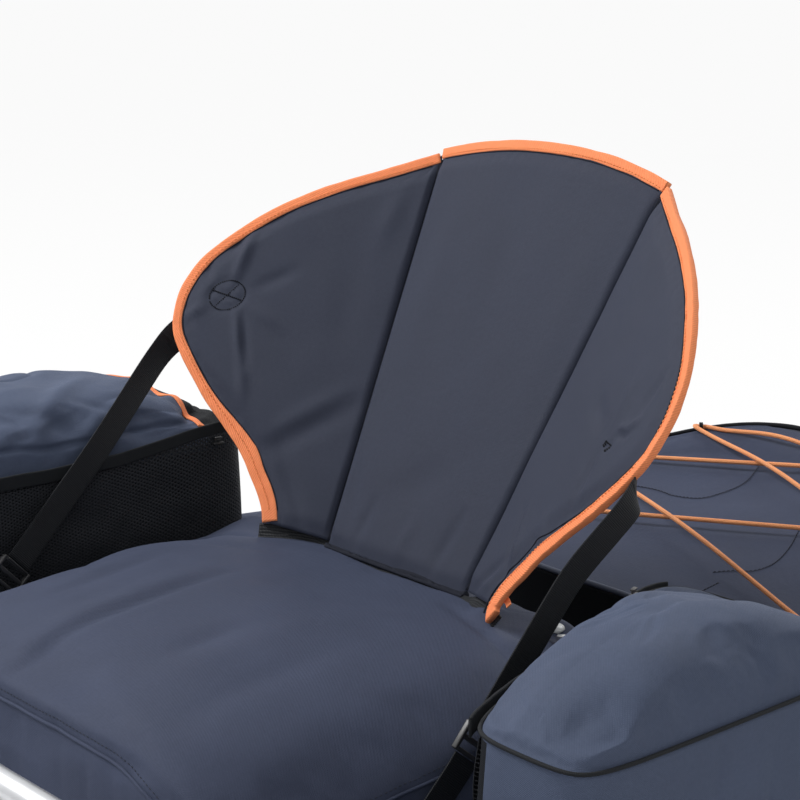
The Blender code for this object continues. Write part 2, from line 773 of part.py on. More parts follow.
def pocket_lid(label, side):
    """The domed zip lid: one crowned sheet that comes down to the rim on all sides."""
    rim = HINGE_Z + POCKET_RIM + GAP
    rows = []
    for i in range(13):
        row = [lid_point(i, j, side) for j in range(9)]
        rows.append(row if side < 0 else row[::-1])
    hinge = (side * POCKET_OUTER, HINGE_Y + POCKET_FRONT, rim + LID_WALL)
    sheet(f"pocket_lid_{label}", rows, LID_WALL, "grey nylon", origin=hinge)


def lid_piping(label, side):
    """Orange piping over the rear of the lid, from its inner rim across the crown."""
    lift = Vector((0.0, 0.0, PIPING_RADIUS + LIE))
    points = [lid_point(PIPING_ROW, j, side) + lift for j in range(1, 8)]
    tube(f"lid_piping_{label}", points, PIPING_RADIUS, "orange tape", sides=1)


def pocket_mesh(label, side):
    """The mesh front: a net of square gaps, hung below its elastic hem."""
    front = POCKET_FRONT + 0.03
    back = POCKET_BACK[side] - 0.045
    top = HINGE_Z + POCKET_RIM - HEM_HEIGHT - GAP
    low = top - MESH_DROP
    strand = 0.0035
    ys = []
    pitch = (back - front - strand) / MESH_COLUMNS
    for i in range(MESH_COLUMNS + 1):
        ys += [front + pitch * i, front + pitch * i + strand]
    zs = []
    rise = (top - low - strand) / MESH_ROWS
    for i in range(MESH_ROWS + 1):
        zs += [low + rise * i, low + rise * i + strand]
    bm = bmesh.new()
    verts = {}
    for i in range(len(ys) - 1):
        for j in range(len(zs) - 1):
            if i % 2 and j % 2:
                continue
            corners = []
            for a, b in ((i, j), (i + 1, j), (i + 1, j + 1), (i, j + 1)):
                if (a, b) not in verts:
                    x = pocket_inner(ys[a], side) - MESH_STAND
                    verts[a, b] = bm.verts.new((side * x, HINGE_Y + ys[a], zs[b]))
                corners.append(verts[a, b])
            bm.faces.new(corners)
    name = f"pocket_mesh_{label}"
    net = place(name, mesh_from(bm, name), "black fabric")
    yarn = net.modifiers.new("yarn", "SOLIDIFY")
    yarn.thickness = 0.0015
    yarn.offset = 0.0
    hem = []
    for y in (front, (front + back) / 2.0, back):
        outer = pocket_inner(y, side) - 0.0008
        low, high = top + GAP, top + GAP + HEM_HEIGHT
        inner = outer - HEM_DEPTH
        hem.append([Vector((side * x, HINGE_Y + y, z)) for x, z in
                    ((outer, low), (outer, high), (inner, high), (inner, low))])
    place(f"pocket_hem_{label}", grid_mesh(f"pocket_hem_{label}", hem, ring=True, capped=True), "black fabric")


def zip_slider(label, side):
    """The lid's zip slider with its pull, on the inner rim near the rear corner."""
    y = POCKET_BACK[side] - 0.055
    inboard = pocket_inner(y, side) - SLIDER[0] / 2.0 - 2.0 * GAP
    at = (side * inboard, HINGE_Y + y, HINGE_Z + POCKET_RIM + SLIDER[2] / 2.0 + GAP)
    turn = Matrix.Rotation(side * math.atan(POCKET_SPLAY[side]), 4, "Z")
    box(f"zip_slider_{label}", SLIDER, "black plastic", Matrix.Translation(at) @ turn, bevel=0.0015)


def pocket(label, side):
    rim = HINGE_Z + POCKET_RIM
    body = pocket_block(f"pocket_body_{label}", side, 0.0, rim, POCKET_LIFT)
    hollow = pocket_block(f"pocket_hollow_{label}", side, POCKET_WALL, rim + 0.03, POCKET_LIFT + POCKET_WALL)
    boolean(body, as_cutter(hollow), "DIFFERENCE")
    pocket_lid(label, side)
    lid_piping(label, side)
    pocket_mesh(label, side)
    zip_slider(label, side)


def inset_line(line, inset):
    """An open polyline moved to its right-hand side, each point along the mean of its edges' normals."""
    points = [Vector(point) for point in line]
    moved = []
    for i, point in enumerate(points):
        before = points[max(i - 1, 0)]
        after = points[min(i + 1, len(points) - 1)]
        way = (after - before).normalized()
        moved.append(point + Vector((way.y, -way.x)) * inset)
    return moved


def wing_outline(inset, fold_side, foot):
    """The wing's outline (outward, up the fold), inset from its free edge and clear of the fold."""
    kept = [point for point in inset_line(WING_EDGE, inset) if point.x > fold_side and point.y > foot]
    top = kept[0].y + (kept[0].x - fold_side) * 0.5
    return [(fold_side, foot), (fold_side, top), *[tuple(point) for point in kept], (kept[-1].x, foot)]


def centre_outline(inset, fold_side, foot):
    """The centre panel's outline: two slanted fold sides and an arched top."""
    arch = [(-x, y) for x, y in CENTRE_TOP] + [(x, y) for x, y in CENTRE_TOP[-2::-1]]
    arch = [point for point in inset_line(arch, inset)]
    slope = math.tan(TILT)
    side = fold_side / math.cos(TILT)

    def limit(y):
        return BASE_HALF + slope * y - side

    kept = [(x, y) for x, y in arch if abs(x) < limit(y) - 0.002]
    corner_y = kept[0][1] - (limit(kept[0][1]) - abs(kept[0][0])) * 0.3
    left = [(-limit(foot), foot), (-limit(corner_y), corner_y)]
    right = [(limit(corner_y), corner_y), (limit(foot), foot)]
    return left + kept + right


def panel(name, outline_of, parent, mirror):
    """A foam core in its own cover: a sleeve that is open along the foot of the panel."""
    flip = -1.0 if mirror else 1.0
    rim = 2.0 * BINDING_RADIUS + GAP
    foot = BEAD_RADIUS + GAP

    def shape(inset, fold, low):
        return [(flip * x, y) for x, y in outline_of(inset, fold, low)]

    core_gap = SKIN + GAP
    core = shape(rim + core_gap, CREASE_HALF + core_gap, foot + GAP)
    plate(f"{name}_core", core, CORE_THICKNESS, "foam", parent)
    outer = plate(f"{name}_raw", shape(rim, CREASE_HALF, foot), CORE_THICKNESS + 2.0 * core_gap, "grey nylon", parent)
    data = evaluated_mesh(outer, f"{name}_cover")
    bpy.data.objects.remove(outer)
    cover = place(data.name, data, "grey nylon")
    hollow = plate(f"{name}_hollow", shape(rim + SKIN, CREASE_HALF + SKIN, foot - 0.01),
                   CORE_THICKNESS + 2.0 * GAP, "foam", parent)
    boolean(cover, as_cutter(hollow), "DIFFERENCE")


def backrest():
    """Three panels that fold along two slanted seams and swing together about the hinge bead."""
    frame = empty("backrest_frame", from_hinge(0.0, 0.0, 0.0), (math.pi / 2.0 - RECLINE, 0.0, 0.0))
    bpy.context.view_layer.update()
    panel("backrest_centre", centre_outline, frame, False)
    bead = [(BEAD_HALF * (i / 4.0 - 1.0), 0.0, 0.0) for i in range(9)]
    tube("hinge_bead", bead, BEAD_RADIUS, "webbing", frame)
    arch = [(-x, y) for x, y in CENTRE_TOP] + [(x, y) for x, y in CENTRE_TOP[-2::-1]]
    arch = [(point.x, point.y, 0.0) for point in inset_line(arch, BINDING_RADIUS)]
    share = (abs(arch[0][0]) - BINDING_END) / (abs(arch[0][0]) - abs(arch[1][0]))
    height = arch[0][1] + (arch[1][1] - arch[0][1]) * share
    arch[0] = (-BINDING_END, height, 0.0)
    arch[-1] = (BINDING_END, height, 0.0)
    tube("binding_centre", arch, BINDING_RADIUS, "orange tape", frame)
    for label, side in (("left", 1.0), ("right", -1.0)):
        seam = []
        for i in range(5):
            y = 0.012 + (FOLD_HEIGHT - 0.03) * i / 4.0
            seam.append((side * (BASE_HALF + math.tan(TILT) * y), y, 0.0))
        tube(f"fold_seam_{label}", seam, SEAM_RADIUS, "dark nylon", frame, sides=1)
        wing = empty(f"wing_frame_{label}", (side * BASE_HALF, 0.0, 0.0), (0.0, -side * WING_FOLD, -side * TILT), frame)
        bpy.context.view_layer.update()
        panel(f"backrest_wing_{label}", wing_outline, wing, side < 0)
        edge = inset_line(WING_EDGE, BINDING_RADIUS)
        edge[0] = edge[0].lerp(edge[1], (0.0045 - edge[0].x) / (edge[1].x - edge[0].x))
        tube(f"binding_wing_{label}", [(side * p.x, p.y, 0.0) for p in edge], BINDING_RADIUS, "orange tape", wing)


def hinge_tape():
    """The tape that sews the hinge bead down to the seat's rear."""
    top = from_hinge(0.0, 0.0, -BEAD_RADIUS - GAP - 0.0005)
    box("hinge_tape", (2.0 * BEAD_HALF, 0.026, 0.001), "webbing", Matrix.Translation(top))


def eased(points, held, passes=2):
    """The points with their corners rounded, apart from the first and last few that are held."""
    for _ in range(passes):
        before = list(points)
        for i in range(held, len(points) - held):
            points[i] = before[i] * 0.5 + (before[i - 1] + before[i + 1]) * 0.25
    return points


def ribbon(name, points, normals, finish):
    """A webbing strap: a flat section carried along its route, with both faces cut along like diagonals."""
    rows = []
    count = len(points)
    for i, (point, normal) in enumerate(zip(points, normals)):
        along = (points[min(i + 1, count - 1)] - points[max(i - 1, 0)]).normalized()
        across = along.cross(normal).normalized()
        face = across.cross(along).normalized()
        w = across * STRAP_WIDTH / 2.0
        h = face * STRAP_THICKNESS / 2.0
        rows.append([point - w - h, point + w - h, point + w + h, point - w + h])
    bm = bmesh.new()
    verts = [[bm.verts.new(corner) for corner in row] for row in rows]
    for (a, b, c, d), (e, f, g, h) in zip(verts, verts[1:]):
        for face in ((a, b, f), (a, f, e), (d, g, c), (d, h, g), (b, c, g, f), (d, a, e, h)):
            bm.faces.new(face)
    bm.faces.new(list(reversed(verts[0])))
    bm.faces.new(verts[-1])
    place(name, mesh_from(bm, name), finish)


def wing_point(side, outward, up, behind):
    """A world point given on a wing, behind its mid-plane."""
    wing = bpy.data.objects["wing_frame_left" if side > 0 else "wing_frame_right"]
    return wing.matrix_world @ Vector((side * outward, up, -behind))


def wing_normal(side):
    wing = bpy.data.objects["wing_frame_left" if side > 0 else "wing_frame_right"]
    return (wing.matrix_world.to_3x3() @ Vector((0.0, 0.0, 1.0))).normalized()


def strap(label, side):
    """The strap from its stitches behind the wing, past the wing's edge, down to its adjuster."""
    bpy.context.view_layer.update()
    behind = CORE_THICKNESS / 2.0 + SKIN + 2.0 * GAP + STRAP_THICKNESS / 2.0
    stitch = wing_point(side, *STRAP_STITCH[side], behind)
    edge = wing_point(side, *STRAP_PASS[side], behind + 0.003)
    adjuster = Vector(from_hinge(side * ADJUSTER_AT[side][0], *ADJUSTER_AT[side][1:]))
    anchor = Vector(from_hinge(side * ANCHOR_AT[side][0], *ANCHOR_AT[side][1:]))
    flat = wing_normal(side)
    sideways = Vector((-side, 0.0, 0.0))
    bend = edge.lerp(adjuster, 0.30)
    bend.x = side * STRAP_INBOARD
    down = (adjuster - bend).normalized()
    reach = ADJUSTER[1] / 2.0 + 3.0 * GAP
    end = adjuster - down * reach
    points = [stitch.lerp(edge, i / 5.0) for i in range(5)]
    points += [edge.lerp(bend, i / 10.0) for i in range(10)]
    points += [bend.lerp(end, i / 10.0) for i in range(11)]
    normals = [flat.lerp(sideways, smoothstep((i - 2.5) / 12.5)) for i in range(len(points))]
    ribbon(f"strap_{label}", eased(points, 3), normals, "webbing")
    across = down.cross(sideways).normalized()
    face = across.cross(down).normalized()
    turn = Matrix((across, down, face)).transposed().to_4x4()
    where = Matrix.Translation(adjuster) @ turn
    lock = box(f"strap_adjuster_{label}", ADJUSTER, "black plastic", where, bevel=0.0015)
    for step in (-0.0055, 0.0055):
        slot = Matrix.Translation(adjuster + down * step) @ turn
        name = f"adjuster_slot_{label}_{int(step * 1e4)}"
        boolean(lock, as_cutter(box(name, (STRAP_WIDTH + 0.002, 0.006, 0.02), "black plastic", slot)), "DIFFERENCE")
    first = adjuster + down * reach
    turned_down = first + down * 0.014
    route = [first, first + down * 0.005, *[turned_down.lerp(anchor, i / 4.0) for i in range(5)]]
    ribbon(f"strap_anchor_{label}", route, [sideways] * len(route), "webbing")


def front_bar():
    """The spreader bar across the front of the arms: a pivot block on the left, an open clip on the right."""
    at = path_at_y(BAR_Y)
    crown = hull_point(at, 90.0)[0].z
    base = crown + GAP
    centre_z = base + BAR_FLOOR + BAR_RADIUS
    reach = HULL_PATH[0][0]
    bm = bmesh.new()
    lie = Matrix.Translation((-reach, 0.0, 0.0)) @ Matrix.Rotation(math.pi / 2.0, 4, "Y")
    bmesh.ops.create_cone(
        bm, cap_ends=True, segments=16, radius1=BAR_RADIUS, radius2=BAR_RADIUS,
        depth=2.0 * (reach + BAR_TAIL), matrix=lie,
    )
    pivot = Matrix.Translation((reach, BAR_Y, centre_z))
    bar = place("front_bar", mesh_from(bm, "front_bar"), "aluminium", matrix=pivot)
    pin_hole = Matrix.Translation((reach, BAR_Y, centre_z)) @ Matrix.Rotation(math.pi / 2.0, 4, "X")
    boolean(bar, as_cutter(cylinder("bar_pin_hole", 0.0043, 0.1, "steel", pin_hole, sides=12)), "DIFFERENCE")
    block_size = (0.044, 0.044, BAR_FLOOR + 2.0 * BAR_RADIUS)
    middle_z = base + block_size[2] / 2.0
    swing = math.hypot(BAR_RADIUS, BAR_TAIL) + 0.001
    for label, side in (("pivot", 1.0), ("clip", -1.0)):
        block = box(f"bar_{label}", block_size, "black plastic", Matrix.Translation((side * reach, BAR_Y, middle_z)), bevel=0.002)
        slot_low = centre_z - (swing if side > 0 else BAR_RADIUS + GAP)
        slot_size = (0.06, 2.0 * (BAR_RADIUS + GAP), 0.06)
        slot = box(f"bar_slot_{label}", slot_size, "steel", Matrix.Translation((side * reach, BAR_Y, slot_low + 0.03)))
        boolean(block, as_cutter(slot), "DIFFERENCE")
        if side > 0:
            pin = as_cutter(cylinder("bar_pin", 0.004, 0.038, "steel", pin_hole, sides=12))
            boolean(block, pin, "UNION")


def carry_handle(label, side):
    """The carry handle on the pontoon's outer side: two fixed ends and a padded grip that hangs."""
    y_mid = -0.22
    at = path_at_y(y_mid)
    centre, _, radius = hull_frame(at, side)
    hang = 0.032
    x = side * (centre.x * side + radius + HANDLE_RADIUS + GAP)
    z = centre.z + 0.03
    steps = 12
    points = []
    for i in range(steps + 1):
        t = 2.0 * i / steps - 1.0
        points.append((x, y_mid + HANDLE_HALF * t, z - hang * (1.0 - t ** 4)))
    tube(f"carry_handle_{label}", points, HANDLE_RADIUS, "webbing", origin=(x, y_mid, z))


def stern_ring():
    """The towing ring and the patch that holds it, on the stern's upper rear face."""
    at = len(HULL_PATH) - 1.0
    point, normal = hull_point(at, 54.0)
    point.x = 0.0
    normal = Vector((0.0, normal.y, normal.z)).normalized()
    seat_at = facing(point + normal * (RING_PATCH[2] / 2.0 + GAP), normal)
    patch = box("ring_patch", RING_PATCH, "black fabric", seat_at)
    down = Vector((0.0, normal.z, -normal.y))
    lug_at = point + normal * (RING_PATCH[2] + LUG_RADIUS)
    lug = Matrix.Translation(lug_at) @ Matrix.Rotation(math.pi / 2.0, 4, "Y")
    sleeve = cylinder("lug_sleeve", LUG_RADIUS + GAP, 0.018, "black fabric", lug, sides=12)
    boolean(patch, as_cutter(sleeve), "UNION")
    bore = cylinder("lug_bore", RING_WIRE + GAP, 0.05, "steel", lug, sides=12)
    boolean(patch, as_cutter(bore), "DIFFERENCE")
    steps = 8
    width = 0.020
    points = [lug_at + Vector((-width, 0.0, 0.0)), lug_at + Vector((width, 0.0, 0.0))]
    for i in range(steps + 1):
        turn = math.pi * i / steps
        swing = Vector((math.cos(turn) * width, 0.0, 0.0)) + down * (0.008 + RING_RADIUS * math.sin(turn))
        points.append(lug_at + swing)
    tube("stern_ring", points, RING_WIRE, "steel", cyclic=True, origin=lug_at)


def build():
    for label, side in (("left", 1.0), ("right", -1.0)):
        hull_covers(label, side)
        air_chamber(label, side)
        main_valve(label, side)
        deck_binding(label, side)
        pocket(label, side)
        carry_handle(label, side)
    seat()
    sling_and_wall()
    rear_deck()
    bungee()
    hinge_tape()
    backrest()
    for label, side in (("left", 1.0), ("right", -1.0)):
        strap(label, side)
    front_bar()
    stern_ring()


build()
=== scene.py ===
"""Looks of the inflatable float tube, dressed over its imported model.

All sizes are in metres. The sitter faces -Y, so the sitter's left is +X, and Z is up.
"""

import math

import bmesh
import bpy
import numpy as np
from mathutils import Matrix, Vector
from mathutils.bvhtree import BVHTree


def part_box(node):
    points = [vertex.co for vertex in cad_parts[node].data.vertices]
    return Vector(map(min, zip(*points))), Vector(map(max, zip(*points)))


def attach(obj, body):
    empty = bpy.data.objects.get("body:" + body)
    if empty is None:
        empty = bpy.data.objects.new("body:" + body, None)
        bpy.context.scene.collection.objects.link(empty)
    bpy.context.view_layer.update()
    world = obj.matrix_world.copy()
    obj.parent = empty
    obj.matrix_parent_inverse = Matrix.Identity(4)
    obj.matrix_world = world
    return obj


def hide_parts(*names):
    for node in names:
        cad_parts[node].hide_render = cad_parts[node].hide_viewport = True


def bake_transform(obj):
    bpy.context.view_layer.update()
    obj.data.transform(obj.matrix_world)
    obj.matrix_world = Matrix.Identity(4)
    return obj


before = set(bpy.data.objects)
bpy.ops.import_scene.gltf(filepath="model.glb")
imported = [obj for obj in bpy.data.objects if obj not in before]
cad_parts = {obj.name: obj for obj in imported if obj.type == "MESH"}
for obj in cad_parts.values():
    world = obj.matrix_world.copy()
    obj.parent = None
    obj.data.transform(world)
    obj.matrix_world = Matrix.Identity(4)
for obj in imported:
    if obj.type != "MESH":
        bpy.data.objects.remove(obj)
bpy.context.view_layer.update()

# Camera
CAMERA_AT = (1.4546, -1.3097, 1.0523)
CAMERA_AZIMUTH = math.radians(48.62)
CAMERA_ELEVATION = math.radians(14.32)
CAMERA_LENS = 95.53

# Hull, as in the part
TUBE_RADIUS = 0.165
STERN_RADIUS = 0.118
TUBE_CENTRE = 0.162
CROWN = 0.327
NOSE_LENGTH = 0.17
NOSE_RISE = 0.03
STERN_RISE = 0.305
STERN_RISE_START = 0.065
MIDDLE_GAP = 0.0012
HULL_PATH = np.array([
    (0.430, -0.713), (0.430, -0.450), (0.430, -0.200), (0.405, 0.000),
    (0.330, 0.200), (0.215, 0.410), (0.115, 0.552), (0.000, 0.595),
])

# Backrest, as in the part
HINGE = np.array((0.0, -0.035, 0.390))
RECLINE = math.radians(28.9)
WING_FOLD = math.radians(25.6)
FOLD_HEIGHT = 0.42
BASE_HALF = 0.100
TILT = math.atan2(0.053, FOLD_HEIGHT)
CENTRE_TOP = np.array([(0.1535, 0.4235), (0.134, 0.429), (0.100, 0.437), (0.052, 0.444), (0.0, 0.446)])
WING_EDGE = np.array([
    (0.000, 0.424), (0.050, 0.398), (0.100, 0.373), (0.153, 0.340), (0.190, 0.308),
    (0.225, 0.268), (0.239, 0.235), (0.242, 0.210), (0.236, 0.180), (0.215, 0.153),
    (0.190, 0.128), (0.171, 0.111), (0.145, 0.091), (0.118, 0.069), (0.103, 0.050),
    (0.090, 0.035), (0.080, 0.020), (0.075, 0.0065),
])

# Seat, as in the part
SEAT_FRONT = -0.42
SEAT_BACK = 0.050
SEAT_HALF = 0.288
SEAT_FOOT_HALF = 0.245
SEAT_THICKNESS = 0.190
SEAT_CROWN = 0.016
SEAT_TOP = -0.0073
SEAT_SHOULDER = 0.025
SEAT_FRONT_DROP = 0.030
SEAT_VALVE_AT = (0.203, 0.012)

# Deck and cord, as in the part
DECK_FRONT_Y = 0.1963
DECK_BACK_Y = 0.583
DECK_WALL = 0.0012
EDGE_RADIUS = 0.003
LIE = 0.0008
LOOP_YS = (0.225, 0.435, 0.548)
CORD_LIFTS = (0.0, 0.0078, 0.010, 0.0, 0.0078)
CORD_PASS = 0.007
CORD_INBOARD = 0.0070
CORD_LIFT = 0.0050
BUNGEE_RADIUS = 0.0025

# Pockets, as in the part, save that the right one ends 6 mm short of the part's
POCKET_INNER = {1: 0.318, -1: 0.304}
POCKET_SPLAY = {1: 0.36, -1: 0.15}
POCKET_OUTER = 0.548
POCKET_FRONT = -0.31
POCKET_BACK = {1: 0.042, -1: 0.062}
POCKET_LIFT = 0.0027
RIM_Z = 0.450
LID_CROWN = 0.063
LID_WALL = 0.004
# Row 9 of 12 and columns 1 to 7 of 8 in the part's lid carry the piping
PIPING_V = math.sin(math.pi / 4.0)
PIPING_REACH = math.sin(math.pi * 3.0 / 8.0)
# How steeply each lid falls to its rear, and how that changes across it, for the looks alone
LID_TAPER = {1: (3.6, -2.4), -1: (0.95, 0.0)}

# Straps, as in the part
STRAP_WIDTH = 0.030
STRAP_INBOARD = 0.3105
STRAP_BEND = {1: (0.34, 0.005), -1: (0.46, 0.008)}
STRAP_STITCH = {1: (0.142, 0.178), -1: (0.189, 0.227)}
STRAP_PASS = {1: (0.232, 0.156), -1: (0.244, 0.172)}
ADJUSTER_AT = {1: (0.303, -0.215, 0.362), -1: (0.303, -0.278, 0.362)}
ANCHOR_AT = {1: (0.2895, -0.297, 0.264), -1: (0.2895, -0.360, 0.264)}

SIDES = (("left", 1), ("right", -1))

# Colours, linear
GREY = (0.054, 0.065, 0.106)
GREY_DEEP = (0.046, 0.052, 0.076)
POCKET_GREY = (0.074, 0.093, 0.147)
PANEL_GREY = (0.0415, 0.0475, 0.0720)
BLACK_CLOTH = (0.0090, 0.0100, 0.0125)
BLACK_WEB = (0.0135, 0.0148, 0.0172)
ORANGE = (0.97, 0.290, 0.124)
ORANGE_CORD = (0.96, 0.385, 0.175)


# Maths

def smoothstep(value):
    value = np.clip(value, 0.0, 1.0)
    return value * value * (3.0 - 2.0 * value)


def unit(vectors):
    vectors = np.asarray(vectors, float)
    return vectors / np.maximum(np.linalg.norm(vectors, axis=-1, keepdims=True), 1e-12)


def lattice(points, seed):
    """Smooth random values from -1 to 1 over a unit lattice."""
    cell = np.floor(points).astype(np.int64)
    part = points - cell
    part = part * part * (3.0 - 2.0 * part)
    total = np.zeros(points.shape[:-1])
    for corner in range(8):
        step = np.array([(corner >> k) & 1 for k in range(3)])
        key = cell + step
        mixed = key[..., 0] * 73856093 ^ key[..., 1] * 19349663 ^ key[..., 2] * 83492791 ^ seed * 60493
        mixed = (mixed ^ (mixed >> 13)) * 1274126177
        value = ((mixed ^ (mixed >> 16)) & 0xFFFF) / 32767.5 - 1.0
        total += value * np.prod(np.where(step == 1, part, 1.0 - part), axis=-1)
    return total


def clouds(points, size, seed, octaves=2):
    """Soft random relief whose largest lumps are about size across."""
    points = np.asarray(points, float)
    if points.shape[-1] == 2:
        points = np.concatenate([points, np.zeros(points.shape[:-1] + (1,))], -1)
    total = 0.0
    for k in range(octaves):
        total = total + lattice(points / size * 2.0 ** k + 7.3 * k, seed + k) / 2.0 ** k
    return total


def ridges(points, size, seed):
    """Sharp random ridge lines, from 0 in the open to 1 on a line."""
    return np.clip(1.0 - np.abs(clouds(points, size, seed, 1)) * 3.0, 0.0, 1.0) ** 2


def folds(x, y, marks):
    """Sum of soft folds; each mark is (x0, y0, x1, y1, width, height)."""
    total = np.zeros(np.shape(x))
    for x0, y0, x1, y1, width, height in marks:
        dx, dy = x1 - x0, y1 - y0
        t = np.clip(((x - x0) * dx + (y - y0) * dy) / (dx * dx + dy * dy), 0.0, 1.0)
        away = np.hypot(x - x0 - t * dx, y - y0 - t * dy)
        total += height * np.exp(-(away / width) ** 2) * (0.35 + 0.65 * np.sin(math.pi * t))
    return total


def curve_through(knots, steps, closed=False):
    """Points of a Catmull-Rom curve through the knots, evenly spaced along it."""
    knots = np.asarray(knots, float)
    if closed:
        ends = np.vstack([knots[-1], knots, knots[0], knots[1]])
    else:
        ends = np.vstack([2 * knots[0] - knots[1], knots, 2 * knots[-1] - knots[-2]])
    dense = []
    for i in range(len(ends) - 3):
        p0, p1, p2, p3 = ends[i:i + 4]
        t = np.linspace(0.0, 1.0, 24, endpoint=False)[:, None]
        dense.append(0.5 * (
            2 * p1 + (p2 - p0) * t + (2 * p0 - 5 * p1 + 4 * p2 - p3) * t ** 2
            + (3 * p1 - p0 - 3 * p2 + p3) * t ** 3
        ))
    dense = np.vstack(dense + [ends[-2][None]])
    return evenly(dense, steps)


def evenly(points, steps):
    """The polyline resampled to evenly spaced points."""
    along = run_length(points)
    want = np.linspace(0.0, along[-1], steps)
    return np.stack([np.interp(want, along, points[:, k]) for k in range(points.shape[1])], 1)


def run_length(points):
    return np.concatenate([[0.0], np.cumsum(np.linalg.norm(np.diff(points, axis=0), axis=1))])


def eased(points, passes, held=1):
    points = np.array(points, float)
    for _ in range(passes):
        middle = 0.5 * points[held:-held] + 0.25 * (points[held - 1:-held - 1]
                                                    + points[held + 1:len(points) - held + 1])
        points[held:-held] = middle
    return points


def turned_by(axis, angle):
    return np.array(Matrix.Rotation(angle, 3, axis))


BACK = turned_by("X", math.pi / 2.0 - RECLINE)
WING = {side: BACK @ turned_by("Z", -side * TILT) @ turned_by("Y", -side * WING_FOLD) for side in (1, -1)}


def on_panel(side, local):
    """Places given on a backrest panel (outward, up, in front) in the row frame; side 0 is the centre."""
    local = np.array(local, float)
    if side == 0:
        return HINGE + local @ BACK.T
    local[..., 0] *= side
    return HINGE + BACK @ np.array((side * BASE_HALF, 0.0, 0.0)) + local @ WING[side].T


def panel_way(side, local):
    local = np.array(local, float)
    if side == 0:
        return local @ BACK.T
    local[..., 0] *= side
    return local @ WING[side].T


# The hull's shape

def path_point(at):
    """The hull's centreline in plan and its direction; at = 0 at the nose."""
    first, last = HULL_PATH[0], HULL_PATH[-1]
    before = (first[0], 2.0 * first[1] - HULL_PATH[1][1])
    after = (2.0 * last[0] - HULL_PATH[-2][0], HULL_PATH[-2][1])
    knots = np.vstack([before, HULL_PATH, after])
    at = min(max(at, 0.0), len(HULL_PATH) - 1 - 1e-9)
    index = int(at)
    t = at - index
    p0, p1, p2, p3 = knots[index:index + 4]
    a, b, c = p2 - p0, 2 * p0 - 5 * p1 + 4 * p2 - p3, 3 * p1 - p0 - 3 * p2 + p3
    return 0.5 * (2 * p1 + a * t + b * t * t + c * t ** 3), unit(a + 2 * b * t + 3 * c * t * t)


STATIONS = np.linspace(0.0, len(HULL_PATH) - 1.0, 600)
STATION_POINTS = np.array([path_point(at)[0] for at in STATIONS])


def path_at_y(y):
    return float(np.interp(y, STATION_POINTS[:, 1], STATIONS))


def crown_z(y):
    return CROWN + STERN_RISE * np.maximum(0.0, y - STERN_RISE_START) ** 2


def tube_radius(y):
    taper = smoothstep((y - STERN_RISE_START) / (HULL_PATH[-1][1] - STERN_RISE_START))
    radius = TUBE_RADIUS + (STERN_RADIUS - TUBE_RADIUS) * taper
    along = (y - HULL_PATH[0][1]) / NOSE_LENGTH
    if along < 1.0:
        radius = radius * math.sqrt(max(0.0, 1.0 - (1.0 - along) ** 2))
    return max(float(radius), 0.003)


def hull_frame(at, side=1):
    point, slope = path_point(at)
    radius = tube_radius(point[1])
    along = min(1.0, (point[1] - HULL_PATH[0][1]) / NOSE_LENGTH)
    height = TUBE_CENTRE + NOSE_RISE * (1.0 - along) ** 2 if along < 1.0 else crown_z(point[1]) - radius
    centre = np.array((side * (point[0] + MIDDLE_GAP / 2.0), point[1], height))
    return centre, np.array((side * slope[1], -slope[0], 0.0)), radius


def hull_ring(at, angles, side, raised=0.0):
    """Points round the tube at one station; angle 0 is outboard and 90 is up."""
    centre, outboard, radius = hull_frame(at, side)
    turn = np.radians(angles)[:, None]
    normal = outboard * np.cos(turn) + np.array((0.0, 0.0, 1.0)) * np.sin(turn)
    raised = np.broadcast_to(raised, turn.shape[:1])[:, None]
    points = centre + normal * (radius + raised)
    points[:, 2] = np.maximum(points[:, 2], -np.minimum(raised[:, 0], 0.0))
    return points, normal


def tube_top(x, y):
    """Height of the pontoon's upper surface under a place in plan, for arrays."""
    x, y = np.abs(x), np.asarray(y, float)
    away = np.hypot(x[..., None] - STATION_POINTS[:, 0], y[..., None] - STATION_POINTS[:, 1])
    nearest = away.argmin(-1)
    radius = np.array([tube_radius(v) for v in STATION_POINTS[:, 1]])[nearest]
    crown = crown_z(STATION_POINTS[:, 1])[nearest]
    plan = np.minimum(away.min(-1), radius * 0.98)
    return crown - radius + np.sqrt(radius ** 2 - plan ** 2)


def inner_reach(y, distance):
    """How far from the middle a place can go and keep its distance from the centreline in plan."""
    reach = np.linspace(0.0, 0.44, 441)
    away = np.hypot(reach[:, None] - STATION_POINTS[:, 0], y - STATION_POINTS[:, 1]).min(1)
    good = reach[(away > distance) & (reach < np.interp(y, STATION_POINTS[:, 1], STATION_POINTS[:, 0]))]
    return float(good.max())


# Meshes

